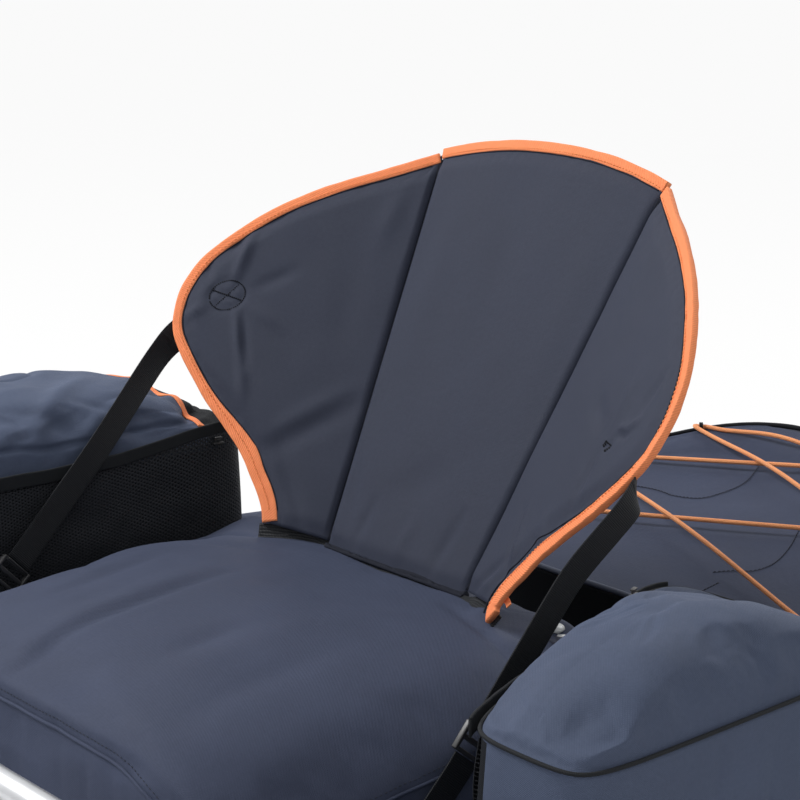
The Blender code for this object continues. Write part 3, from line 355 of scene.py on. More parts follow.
def piece(name, verts, faces, finish, body=None, uv=None, wrap=None, stands_for=(), slot=None):
    """A mesh piece with its material, its UVs in metres and the body that it rides on."""
    data = bpy.data.meshes.new(name)
    data.from_pydata(np.asarray(verts, float).tolist(), [], [list(map(int, f)) for f in faces])
    if uv is not None:
        corner = np.zeros(len(data.loops), np.int32)
        data.loops.foreach_get("vertex_index", corner)
        at = np.asarray(uv, float)[corner]
        if wrap:
            starts = np.array([p.loop_start for p in data.polygons])
            owner = np.searchsorted(starts, np.arange(len(corner)), side="right") - 1
            highest = np.full(len(starts), -1e9)
            np.maximum.at(highest, owner, at[:, 0])
            at[at[:, 0] < highest[owner] - wrap / 2.0, 0] += wrap
        data.uv_layers.new(name="metres").data.foreach_set("uv", at.ravel())
    obj = bpy.data.objects.new(name, data)
    bpy.context.scene.collection.objects.link(obj)
    for made in finish if isinstance(finish, (list, tuple)) else [finish]:
        data.materials.append(made)
    bm = bmesh.new()
    bm.from_mesh(data)
    bmesh.ops.recalc_face_normals(bm, faces=bm.faces)
    bm.to_mesh(data)
    bm.free()
    data.shade_smooth()
    if uv is None:
        box_uv(obj)
    if stands_for:
        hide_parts(*stands_for)
    if body:
        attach(obj, body)
    return obj


def box_uv(obj):
    """UVs in metres from each face's main direction."""
    data = obj.data
    corner = np.zeros(len(data.loops), np.int32)
    data.loops.foreach_get("vertex_index", corner)
    co = np.zeros(len(data.vertices) * 3)
    data.vertices.foreach_get("co", co)
    at = co.reshape(-1, 3)[corner]
    normals = np.zeros(len(data.polygons) * 3)
    data.polygons.foreach_get("normal", normals)
    totals = np.zeros(len(data.polygons), np.int32)
    data.polygons.foreach_get("loop_total", totals)
    main = np.abs(normals.reshape(-1, 3)).argmax(1).repeat(totals)
    uv = np.where((main == 2)[:, None], at[:, [0, 1]],
                  np.where((main == 1)[:, None], at[:, [0, 2]], at[:, [1, 2]]))
    layer = data.uv_layers.get("metres") or data.uv_layers.new(name="metres")
    layer.data.foreach_set("uv", uv.ravel())


def grid_faces(rows, cols, ring=False, start=0, flip=False):
    i = np.arange(rows - 1)[:, None]
    j = np.arange(cols if ring else cols - 1)[None, :]
    k = (j + 1) % cols
    quads = np.stack([i * cols + j, i * cols + k, (i + 1) * cols + k, (i + 1) * cols + j], -1).reshape(-1, 4)
    return (quads[:, ::-1] if flip else quads) + start


def grid_uv(points, ring=False):
    """UVs in metres: how far along each row, and how far along the first column."""
    cols = points.shape[1]
    middle = points[points.shape[0] // 2]
    u = run_length(middle)
    v = run_length(points[:, cols // 2])
    uv = np.stack(np.meshgrid(u, v), -1)
    wrap = float(u[-1] + np.linalg.norm(middle[0] - middle[-1])) if ring else None
    return uv.reshape(-1, 2), wrap


def grid_normals(points):
    across = np.gradient(points, axis=1)
    along = np.gradient(points, axis=0)
    return unit(np.cross(across, along))


def shell(name, top, bottom, finish, body=None, uv=None, **more):
    """A closed thin body between two grids of the same shape."""
    rows, cols = top.shape[:2]
    count = rows * cols
    faces = [grid_faces(rows, cols), grid_faces(rows, cols, start=count, flip=True)]
    rims = [np.arange(cols), np.arange(cols) + (rows - 1) * cols, np.arange(rows) * cols,
            np.arange(rows) * cols + cols - 1]
    for rim in rims:
        faces.append(np.stack([rim[:-1], rim[1:], rim[1:] + count, rim[:-1] + count], 1))
    if uv is None:
        uv = grid_uv(top)[0]
    verts = np.vstack([top.reshape(-1, 3), bottom.reshape(-1, 3)])
    return piece(name, verts, np.vstack(faces), finish, body, np.vstack([uv.reshape(-1, 2)] * 2), **more)


def cloth_shell(name, points, wall, finish, body=None, **more):
    """A cloth sheet of the given wall, with its outer face at the points."""
    return shell(name, points, points - grid_normals(points) * wall, finish, body, **more)


def frames_along(path, up=None):
    """Tangent, side and up vectors along a path, carried without twist unless up is given."""
    along = unit(np.gradient(path, axis=0))
    ups = np.zeros_like(along)
    if up is not None:
        ups[:] = up
        ups = unit(ups - along * (ups * along).sum(1)[:, None])
    else:
        seed = np.eye(3)[np.abs(along[0]).argmin()]
        ups[0] = unit(seed - along[0] * (seed @ along[0]))
        for i in range(1, len(path)):
            ups[i] = unit(ups[i - 1] - along[i] * (ups[i - 1] @ along[i]))
    return along, np.cross(along, ups), ups


def sweep(name, path, section, finish, body=None, up=None, capped=True, closed=False, **more):
    """A closed section carried along a path; section is (K, 2) or one per path point, (N, K, 2)."""
    path = np.asarray(path, float)
    section = np.asarray(section, float)
    if section.ndim == 2:
        section = np.repeat(section[None], len(path), 0)
    _, sideways, ups = frames_along(path, up)
    rings = path[:, None] + sideways[:, None] * section[..., :1] + ups[:, None] * section[..., 1:]
    rows, cols = rings.shape[:2]
    around = run_length(np.vstack([section[0], section[0][:1]]))
    uv = np.stack(np.meshgrid(around[:-1], run_length(path)), -1).reshape(-1, 2)
    faces = grid_faces(rows, cols, ring=True).tolist()
    if closed:
        last = (rows - 1) * cols
        faces += [[last + j, last + (j + 1) % cols, (j + 1) % cols, j] for j in range(cols)]
    elif capped:
        faces += [list(range(cols))[::-1], [(rows - 1) * cols + j for j in range(cols)]]
    return piece(name, rings.reshape(-1, 3), faces, finish, body, uv, wrap=float(around[-1]), **more)


def round_section(radius, sides=12, squash=1.0):
    turn = np.linspace(0.0, 2.0 * math.pi, sides, endpoint=False)
    return np.stack([np.cos(turn) * radius, np.sin(turn) * radius * squash], 1)


def flat_section(width, thick, sides=6):
    """A flat strap's section with round edges."""
    half = width / 2.0 - thick / 2.0
    turn = np.linspace(-math.pi / 2.0, math.pi / 2.0, sides)
    right = np.stack([half + np.cos(turn) * thick / 2.0, np.sin(turn) * thick / 2.0], 1)
    flats = np.stack([np.linspace(half, -half, 9)[1:-1], np.full(7, thick / 2.0)], 1)
    return np.vstack([right, flats, -right, -flats])


def joined(name, parts, finish, body=None, **more):
    """One piece out of several (verts, faces) parts."""
    verts, faces, start = [], [], 0
    for points, quads in parts:
        verts.append(points)
        faces += [[v + start for v in quad] for quad in quads]
        start += len(points)
    return piece(name, np.vstack(verts), faces, finish, body, **more)


def stitch_parts(path, normals, step=0.0042, share=0.68, radius=0.00042, sink=0.15):
    """Short thread stitches lying along a path on a surface."""
    path, normals = np.asarray(path, float), np.asarray(normals, float)
    along = run_length(path)
    count = max(1, int(along[-1] / step))
    parts = []
    turn = np.linspace(0.0, 2.0 * math.pi, 5, endpoint=False)
    lift = (-0.9, 0.55, 0.75, 0.55, -0.9)
    size = (0.45, 0.95, 1.0, 0.95, 0.45)
    for i in range(count):
        spots = (i + 0.5) * step + step * share * (np.linspace(0.0, 1.0, 5) - 0.5)
        points = np.stack([np.interp(spots, along, path[:, k]) for k in range(3)], 1)
        up = unit(np.stack([np.interp(spots, along, normals[:, k]) for k in range(3)], 1))
        way = unit(points[-1] - points[0])
        rings = []
        for point, n, high, wide in zip(points, up, lift, size):
            side = unit(np.cross(way, n))
            ring = point + n * (radius * (high + sink)) + radius * wide * (
                side * np.cos(turn)[:, None] + n * np.sin(turn)[:, None])
            rings.append(ring)
        faces = grid_faces(5, 5, ring=True).tolist() + [[4, 3, 2, 1, 0], [20, 21, 22, 23, 24]]
        parts.append((np.vstack(rings), faces))
    return parts


def turned_piece(name, profile, at, axis, finish, body, steps=48, ribs=0, rib=0.0, **more):
    """A turned body from (radius, height) points, with optional grip ribs on its widest part."""
    profile = np.asarray(profile, float)
    turn = np.linspace(0.0, 2.0 * math.pi, steps, endpoint=False)
    z = unit(axis)
    x = unit(np.cross(z, np.eye(3)[np.abs(z).argmin()]))
    y = np.cross(z, x)
    widest = profile[:, 0].max()
    rings = []
    for radius, height in profile:
        wave = 1.0 + rib * (radius > widest * 0.93) * np.sign(np.sin(turn * ribs)) if ribs else np.ones(steps)
        rings.append(at + (x * np.cos(turn)[:, None] + y * np.sin(turn)[:, None])
                     * (radius * wave)[:, None] + z * height)
    rows = len(rings)
    faces = grid_faces(rows, steps, ring=True).tolist()
    faces += [list(range(steps)), list(range((rows - 1) * steps, rows * steps))]
    obj = piece(name, np.vstack(rings), faces, finish, body, **more)
    obj.data.set_sharp_from_angle(angle=math.radians(42.0))
    return obj


def relaxed(obj, pressure, grow, cap, frames=18, pinned=None, stiffness=12.0):
    """One cloth pass on the piece: it swells and wrinkles a little, no point moving further than cap."""
    data = obj.data
    rest = np.zeros(len(data.vertices) * 3)
    data.vertices.foreach_get("co", rest)
    rest = rest.reshape(-1, 3)
    cloth = obj.modifiers.new("cloth", "CLOTH")
    settings = cloth.settings
    settings.quality = 6
    settings.mass = 0.25
    settings.tension_stiffness = stiffness
    settings.compression_stiffness = stiffness
    settings.shear_stiffness = stiffness / 2.0
    settings.bending_stiffness = 0.35
    settings.use_pressure = True
    settings.uniform_pressure_force = pressure
    settings.effector_weights.gravity = 0.0
    settings.shrink_min = -grow
    if pinned is not None:
        group = obj.vertex_groups.new(name="held")
        for weight in np.unique(np.round(pinned, 2)):
            if weight > 0:
                group.add(np.flatnonzero(np.round(pinned, 2) == weight).tolist(), float(weight), "REPLACE")
        settings.vertex_group_mass = "held"
    cloth.point_cache.frame_start = 1
    cloth.point_cache.frame_end = frames
    scene = bpy.context.scene
    for number in range(1, frames + 1):
        scene.frame_set(number)
    graph = bpy.context.evaluated_depsgraph_get()
    moved = np.zeros(len(data.vertices) * 3)
    obj.evaluated_get(graph).data.vertices.foreach_get("co", moved)
    moved = moved.reshape(-1, 3) - rest
    far = np.linalg.norm(moved, axis=1, keepdims=True)
    moved *= np.minimum(1.0, cap / np.maximum(far, 1e-9))
    obj.modifiers.clear()
    obj.vertex_groups.clear()
    scene.frame_set(1)
    data.vertices.foreach_set("co", (rest + moved).ravel())
    data.update()


def vertex_array(obj):
    co = np.zeros(len(obj.data.vertices) * 3)
    obj.data.vertices.foreach_get("co", co)
    return co.reshape(-1, 3)


def set_vertices(obj, points):
    obj.data.vertices.foreach_set("co", np.asarray(points).ravel())
    obj.data.update()


def subdivided(obj, levels=1):
    """The piece with its subdivision applied, in its own mesh."""
    smooth = obj.modifiers.new("smooth", "SUBSURF")
    smooth.levels = smooth.render_levels = levels
    graph = bpy.context.evaluated_depsgraph_get()
    bpy.context.view_layer.update()
    finer = bpy.data.meshes.new_from_object(obj.evaluated_get(graph), preserve_all_data_layers=True,
                                            depsgraph=graph)
    obj.modifiers.clear()
    old = obj.data
    obj.data = finer
    finer.name = obj.name
    bpy.data.meshes.remove(old)
    finer.shade_smooth()
    return obj


def vertex_normals(obj):
    out = np.zeros(len(obj.data.vertices) * 3)
    obj.data.vertices.foreach_get("normal", out)
    return out.reshape(-1, 3)


# Materials

def add(tree, kind, settings=None, **inputs):
    node = tree.nodes.new("ShaderNode" + kind)
    for key, value in (settings or {}).items():
        setattr(node, key, value)
    for key, value in inputs.items():
        socket = node.inputs[key.replace("_", " ")]
        if isinstance(value, bpy.types.NodeSocket):
            tree.links.new(value, socket)
        else:
            socket.default_value = value
    return node


def calc(tree, operation, *values):
    node = tree.nodes.new("ShaderNodeMath")
    node.operation = operation
    for socket, value in zip(node.inputs, values):
        if isinstance(value, bpy.types.NodeSocket):
            tree.links.new(value, socket)
        else:
            socket.default_value = value
    return node.outputs[0]


def shader(name, roughness=0.5, **inputs):
    made = bpy.data.materials.new(name)
    made.use_nodes = True
    base = made.node_tree.nodes["Principled BSDF"]
    base.inputs["Roughness"].default_value = roughness
    for key, value in inputs.items():
        base.inputs[key.replace("_", " ")].default_value = value
    return made, made.node_tree, base


def two_tone(tree, factor, low, high, start=0.3, end=0.7):
    ramp = add(tree, "ValToRGB", Fac=factor)
    ramp.color_ramp.elements[0].position = start
    ramp.color_ramp.elements[1].position = end
    ramp.color_ramp.elements[0].color = (*low, 1.0)
    ramp.color_ramp.elements[1].color = (*high, 1.0)
    return ramp.outputs["Color"]


def weave_height(tree, u, v, weave, pitch):
    """Thread relief, from -1 to 1, of a weave with that thread pitch."""
    turn = math.pi / pitch
    if weave == "plain":
        return calc(tree, "MULTIPLY", calc(tree, "SINE", calc(tree, "MULTIPLY", u, turn)),
                    calc(tree, "SINE", calc(tree, "MULTIPLY", v, turn)))
    if weave == "twill":
        slant = calc(tree, "ADD", calc(tree, "MULTIPLY", u, turn), calc(tree, "MULTIPLY", v, turn))
        return calc(tree, "SINE", slant)
    if weave == "ribbed":
        ribs = calc(tree, "ABSOLUTE", calc(tree, "SINE", calc(tree, "MULTIPLY", v, turn)))
        threads = calc(tree, "SINE", calc(tree, "MULTIPLY", u, turn * 2.3))
        return calc(tree, "ADD", ribs, calc(tree, "MULTIPLY", threads, 0.35))
    plus = calc(tree, "SINE", calc(tree, "MULTIPLY", calc(tree, "ADD", v, u), turn))
    minus = calc(tree, "SINE", calc(tree, "MULTIPLY", calc(tree, "SUBTRACT", v, u), turn))
    return calc(tree, "MAXIMUM", plus, minus)


def cloth(name, colour, weave="plain", pitch=0.0006, depth=0.00016, roughness=0.6, sheen=0.012, shine=0.08,
          mottle=0.07, slub=0.0, crumple=0.0, wear=0.12, coat=0.0, grain=0.07, tint=(0.8, 0.86, 1.0)):
    """A woven fabric: thread relief, slubs, fine crumple, uneven dye, worn high edges, and painted shade in
    the weave's valleys.
    """
    made, tree, base = shader(name, roughness, Sheen_Weight=sheen, Sheen_Roughness=0.45,
                              Sheen_Tint=(*tint, 1.0), Specular_IOR_Level=shine, Coat_Weight=coat,
                              Coat_Roughness=0.35)
    where = add(tree, "UVMap", {"uv_map": "metres"}).outputs["UV"]
    parts = add(tree, "SeparateXYZ", Vector=where)
    threads = weave_height(tree, parts.outputs["X"], parts.outputs["Y"], weave, pitch)
    broad = add(tree, "TexNoise", Vector=where, Scale=9.0, Detail=3.0, Roughness=0.6).outputs["Fac"]
    fine = add(tree, "TexNoise", Vector=where, Scale=260.0, Detail=2.0, Roughness=0.65).outputs["Fac"]
    dark = tuple(c * (1.0 - mottle) for c in colour)
    light = tuple(min(1.0, c * (1.0 + mottle)) for c in colour)
    dyed = two_tone(tree, broad, dark, light)
    # Painted shade: the thread relief, scaled by grain, darkens the colour in the weave's valleys; the fine
    # noise adds random speckle.
    thread_shade_and_speckle = calc(tree, "ADD", calc(tree, "MULTIPLY", threads, grain), calc(tree, "MULTIPLY", fine, 0.22))
    value = calc(tree, "ADD", thread_shade_and_speckle, 0.89)
    shaded = add(tree, "HueSaturation", Color=dyed, Value=value).outputs["Color"]
    edge = add(tree, "NewGeometry").outputs["Pointiness"]
    high = add(tree, "MapRange", Value=edge, From_Min=0.52, From_Max=0.60, To_Min=0.0,
               To_Max=wear).outputs["Result"]
    pale = tuple(min(1.0, c * 1.7 + 0.01) for c in colour)
    worn = add(tree, "Mix", {"data_type": "RGBA"})
    tree.links.new(high, worn.inputs["Factor"])
    tree.links.new(shaded, worn.inputs[6])
    worn.inputs[7].default_value = (*pale, 1.0)
    tree.links.new(worn.outputs[2], base.inputs["Base Color"])
    rough = add(tree, "MapRange", Value=broad, From_Min=0.3, From_Max=0.7,
                To_Min=roughness - 0.06, To_Max=roughness + 0.06).outputs["Result"]
    tree.links.new(rough, base.inputs["Roughness"])
    relief = add(tree, "Bump", Height=threads, Distance=depth, Strength=0.8)
    last = relief.outputs["Normal"]
    if slub:
        slubs = add(tree, "TexNoise", Vector=where, Scale=700.0, Detail=1.0).outputs["Fac"]
        last = add(tree, "Bump", Height=slubs, Distance=slub, Strength=0.6, Normal=last).outputs["Normal"]
    if crumple:
        lines = add(tree, "TexNoise", Vector=where, Scale=38.0, Detail=3.0, Roughness=0.55, Distortion=0.6)
        last = add(tree, "Bump", Height=lines.outputs["Fac"], Distance=crumple, Strength=0.5,
                   Normal=last).outputs["Normal"]
    tree.links.new(last, base.inputs["Normal"])
    return made


def moulded(name, colour, roughness=0.42, grain=0.00006, **inputs):
    """Moulded plastic with a fine spark texture and slightly uneven gloss."""
    made, tree, base = shader(name, roughness, **inputs)
    where = add(tree, "TexCoord").outputs["Object"]
    fine = add(tree, "TexNoise", Vector=where, Scale=1400.0, Detail=2.0).outputs["Fac"]
    broad = add(tree, "TexNoise", Vector=where, Scale=30.0, Detail=3.0).outputs["Fac"]
    low = tuple(c * 0.85 for c in colour)
    high = tuple(min(1.0, c * 1.15) for c in colour)
    tree.links.new(two_tone(tree, broad, low, high), base.inputs["Base Color"])
    rough = add(tree, "MapRange", Value=broad, To_Min=roughness - 0.07,
                To_Max=roughness + 0.07).outputs["Result"]
    tree.links.new(rough, base.inputs["Roughness"])
    relief = add(tree, "Bump", Height=fine, Distance=grain, Strength=0.6).outputs["Normal"]
    tree.links.new(relief, base.inputs["Normal"])
    return made


def metal(name, colour, roughness, lines):
    """Drawn or brushed metal; lines stretches its fine scratches along X."""
    made, tree, base = shader(name, roughness, Metallic=1.0)
    where = add(tree, "TexCoord").outputs["Object"]
    stretched = add(tree, "Mapping", Vector=where, Scale=lines).outputs["Vector"]
    fine = add(tree, "TexNoise", Vector=stretched, Scale=900.0, Detail=3.0).outputs["Fac"]
    broad = add(tree, "TexNoise", Vector=where, Scale=22.0, Detail=3.0).outputs["Fac"]
    low = tuple(c * 0.86 for c in colour)
    tree.links.new(two_tone(tree, broad, low, colour), base.inputs["Base Color"])
    rough = add(tree, "MapRange", Value=fine, To_Min=roughness - 0.08,
                To_Max=roughness + 0.10).outputs["Result"]
    tree.links.new(rough, base.inputs["Roughness"])
    relief = add(tree, "Bump", Height=fine, Distance=0.00003, Strength=0.5).outputs["Normal"]
    tree.links.new(relief, base.inputs["Normal"])
    return made


NYLON = cloth("grey_nylon", GREY, pitch=0.0008, roughness=0.60, sheen=0.016, slub=0.00010, crumple=0.0012)
PANEL = cloth("panel_nylon", PANEL_GREY, pitch=0.0008, roughness=0.50, slub=0.00008, crumple=0.0007,
              mottle=0.05)
POCKET = cloth("pocket_nylon", POCKET_GREY, pitch=0.0008, roughness=0.60, sheen=0.016, slub=0.00010,
               crumple=0.0012)
HULL_GREY = cloth("hull_nylon", GREY, pitch=0.0009, roughness=0.60, slub=0.00010, crumple=0.0008)
DARK = cloth("dark_nylon", GREY_DEEP, pitch=0.0007, roughness=0.6, crumple=0.0006)
SEAM_DARK = cloth("seam_cloth", (0.016, 0.018, 0.027), pitch=0.0006, roughness=0.7, sheen=0.0)
BLACK = cloth("black_fabric", BLACK_CLOTH, pitch=0.0009, depth=0.00022, roughness=0.62, mottle=0.15,
              slub=0.00012, crumple=0.0010, wear=0.25)
COATED = cloth("coated_fabric", (0.012, 0.013, 0.016), pitch=0.0011, depth=0.00012, roughness=0.48,
               sheen=0.02,
               mottle=0.12, crumple=0.0010, coat=0.08, wear=0.2)
WEBBING = cloth("webbing", BLACK_WEB, weave="ribbed", pitch=0.0018, depth=0.00050, roughness=0.5, shine=0.15,
                mottle=0.15, wear=0.12, grain=0.25)
ELASTIC = cloth("elastic", (0.013, 0.0145, 0.017), weave="ribbed", pitch=0.0012, depth=0.0003, roughness=0.6,
                shine=0.12, mottle=0.15, grain=0.15)
NET = cloth("net", (0.0215, 0.0235, 0.0285), pitch=0.0005, depth=0.0001, roughness=0.5, shine=0.15)
TAPE = cloth("orange_tape", ORANGE, weave="twill", pitch=0.0013, depth=0.00016, roughness=0.6, mottle=0.06,
             wear=0.2, grain=0.10, tint=(1.0, 0.8, 0.65))
CORD = cloth("orange_cord", ORANGE_CORD, weave="braid", pitch=0.0017, depth=0.0005, roughness=0.5,
             mottle=0.08,
             grain=0.14, tint=(1.0, 0.85, 0.7))
THREAD = cloth("grey_thread", (0.036, 0.040, 0.056), weave="twill", pitch=0.0004, depth=0.0001, roughness=0.5)
DARK_THREAD = cloth("black_thread", (0.014, 0.015, 0.018), weave="twill", pitch=0.0004, depth=0.0001,
                    roughness=0.5)
PALE_THREAD = cloth("orange_thread", (0.98, 0.34, 0.12), weave="twill", pitch=0.0004, depth=0.0001,
                    roughness=0.5)
FILM = moulded("bladder_film", (0.45, 0.46, 0.47), 0.35)
PLASTIC = moulded("black_plastic", (0.020, 0.020, 0.022), 0.42)
CLEAR = moulded("clear_valve", (0.80, 0.83, 0.84), 0.28, 0.00003, Transmission_Weight=0.45,
                Subsurface_Weight=0.0, Coat_Weight=0.3, Coat_Roughness=0.2)
STEEL = metal("steel", (0.60, 0.60, 0.61), 0.28, (1.0, 1.0, 1.0))
ALUMINIUM = metal("aluminium", (0.62, 0.63, 0.65), 0.34, (0.05, 1.0, 1.0))
# The hem's pale colour is a painted highlight along the deck's rolled front edge
HEM = cloth("hem_painted_highlight", (0.115, 0.130, 0.175), pitch=0.0007, roughness=0.55)


# Hull

def fine_stations(nose, body):
    nose_end = path_at_y(HULL_PATH[0][1] + NOSE_LENGTH)
    lean = np.arange(nose) / nose * math.pi / 2.0
    length = len(HULL_PATH) - 1.0 - nose_end
    return np.concatenate([nose_end * (1.0 - np.cos(lean)),
                           nose_end + length * np.linspace(0.0, 1.0, body + 1)])


def hull():
    """The two pontoons: smooth shells with puckers inside the bends, seam tapes and the air chambers."""
    stations = fine_stations(20, 110)
    lengths = run_length(np.array([path_point(at)[0] for at in stations]))
    ys = np.array([path_point(at)[0][1] for at in stations])
    for label, side in SIDES:
        for half, start, finish, slot in (("upper", 0.0, HULL_GREY, "grey_nylon"),
                                          ("lower", 180.0, COATED, "black_fabric")):
            angles = np.linspace(start + 0.1, start + 179.9, 57)
            along, around = np.meshgrid(lengths, angles, indexing="ij")
            inner = np.exp(-((around - 180.0) / 38.0) ** 2)
            bend = smoothstep((ys + 0.12) / 0.2) * smoothstep((0.62 - ys) / 0.15)
            spots = np.stack([along * 1.0, np.radians(around) * 0.16, np.full_like(along, 3.1 * side)], -1)
            shift = clouds(spots, 0.06, 11 + side, 2)
            pucker = 0.5 + 0.5 * np.sin(2.0 * math.pi * (along / 0.033 + 0.35 * shift))
            raised = -0.0055 * inner * bend[:, None] * pucker ** 1.5
            raised -= 0.0009 * (1.0 + clouds(spots, 0.10, 21 + side, 2))
            raised -= 0.0016 * np.exp(-((around - 90.0) / 26.0) ** 2) * 0.0
            rows, inside = [], []
            for i, at in enumerate(stations):
                rows.append(hull_ring(at, angles, side, raised[i])[0])
                inside.append(hull_ring(at, angles, side, raised[i] - 0.0012)[0])
            shell(f"hull_skin_{half}_{label}", np.array(rows), np.array(inside), finish, "hull",
                  stands_for=[f"hull_cover_{half}_{label}"], slot=slot)
        for number, (angle, width) in enumerate(((0.0, 0.024), (180.0, 0.020))):
            rows = []
            for i, at in enumerate(stations[6:-1]):
                radius = hull_frame(at, side)[2]
                spread = math.degrees(width / 2.0 / radius)
                arc = angle + spread * np.linspace(-1.0, 1.0, 9)
                puckers = 0.0002 * math.sin(lengths[i + 6] / 0.0032)
                inner = 0.0 if number == 0 else -0.0012 * float(smoothstep((ys[i + 6] + 0.12) / 0.2))
                lift = np.array([-0.0004, 0.0004, 0.0010, 0.0011, 0.0011, 0.0011, 0.0010, 0.0004, -0.0004])
                rows.append(hull_ring(at, arc, side, lift + puckers + inner)[0])
            rows = np.array(rows)
            cloth_shell(f"seam_tape_{label}_{number}", rows, 0.0008, BLACK, "hull", slot="black_fabric")
        rings = []
        ring_angles = np.linspace(0.0, 360.0, 40, endpoint=False)
        for at in stations[6::3]:
            rings.append(hull_ring(at, ring_angles, side, -0.0055)[0])
        rings = np.array(rings)
        rings[..., 0] += side * 0.002
        uv, wrap = grid_uv(rings, ring=True)
        faces = grid_faces(*rings.shape[:2], ring=True).tolist()
        count = rings.shape[0] * rings.shape[1]
        faces += [list(range(40)), list(range(count - 40, count))]
        piece(f"air_bladder_{label}", rings.reshape(-1, 3), faces, FILM, "hull", uv, wrap,
              stands_for=[f"air_chamber_{label}"], slot="bladder_film")
        main_valve(label, side)
        nose_cap(label, side)


def nose_cap(label, side):
    """The round welded patch that closes each nose."""
    angles = np.linspace(0.0, 360.0, 48, endpoint=False)
    reach = path_at_y(HULL_PATH[0][1] + 0.010)
    lean = np.linspace(0.04, math.pi / 2.0, 14)
    rings = [hull_ring(at, angles, side, 0.0012)[0] for at in reach * (1.0 - np.cos(lean))]
    rings.append(hull_ring(reach, angles, side, -0.0008)[0])
    tip = rings[0].mean(0) - (0.0, 0.0006, 0.0)
    rings = np.array(rings)
    count = rings.shape[0] * rings.shape[1]
    faces = grid_faces(*rings.shape[:2], ring=True).tolist()
    faces += [[j, (j + 1) % 48, count] for j in range(48)]
    piece(f"nose_patch_{label}", np.vstack([rings.reshape(-1, 3), tip[None]]), faces, BLACK, "hull",
          slot="black_fabric")


def main_valve(label, side):
    at = path_at_y(0.13)
    points, normals = hull_ring(at, np.array([20.0]), side)
    body = [(0.0, 0.0090), (0.0147, 0.0090), (0.0147, 0.0058), (0.0225, 0.0056), (0.0250, 0.0050),
            (0.0260, 0.0040),
            (0.0260, 0.0026), (0.0250, 0.0016), (0.0225, -0.0010), (0.0147, -0.0040), (0.0147, -0.014),
            (0.0, -0.014)]
    turned_piece(f"valve_body_{label}", [(max(r, 1e-4), h) for r, h in body], points[0], normals[0],
                 PLASTIC, "hull",
                 stands_for=[f"main_valve_{label}"], slot="black_plastic")
    cap = [(0.0005, 0.0147), (0.010, 0.0148), (0.0165, 0.0147), (0.0190, 0.0140), (0.0215, 0.0125),
           (0.0220, 0.0110),
           (0.0220, 0.0066), (0.0212, 0.0059), (0.0152, 0.0059), (0.0152, 0.0103), (0.0005, 0.0103)]
    turned_piece(f"valve_cap_{label}", cap, points[0], normals[0], PLASTIC, f"valve_cap_{label}",
                 steps=96, ribs=24,
                 rib=0.018, stands_for=[f"main_valve_cap_{label}"], slot="black_plastic")


# Seat

def seat_reach(v):
    """Half the seat's width at its top; v runs from -1 at the front to 1 at the rear."""
    return SEAT_HALF * (1.0 - 0.08 * smoothstep((v - 0.1) / 0.9)) * np.sqrt(1.0 - 0.10 * v * v)


def seat_top(u, v):
    """The seat's top above the hinge line: crowned, and drawn down at its sides and front corners."""
    crown = smoothstep((0.95 - v) / 1.2) * smoothstep((1.0 + v) / 0.5)
    drop = SEAT_SHOULDER * u ** 8 + SEAT_FRONT_DROP * u ** 4 * smoothstep((0.6 - v) / 1.4)
    return SEAT_TOP + SEAT_CROWN * (1.0 - u * u) * crown - drop


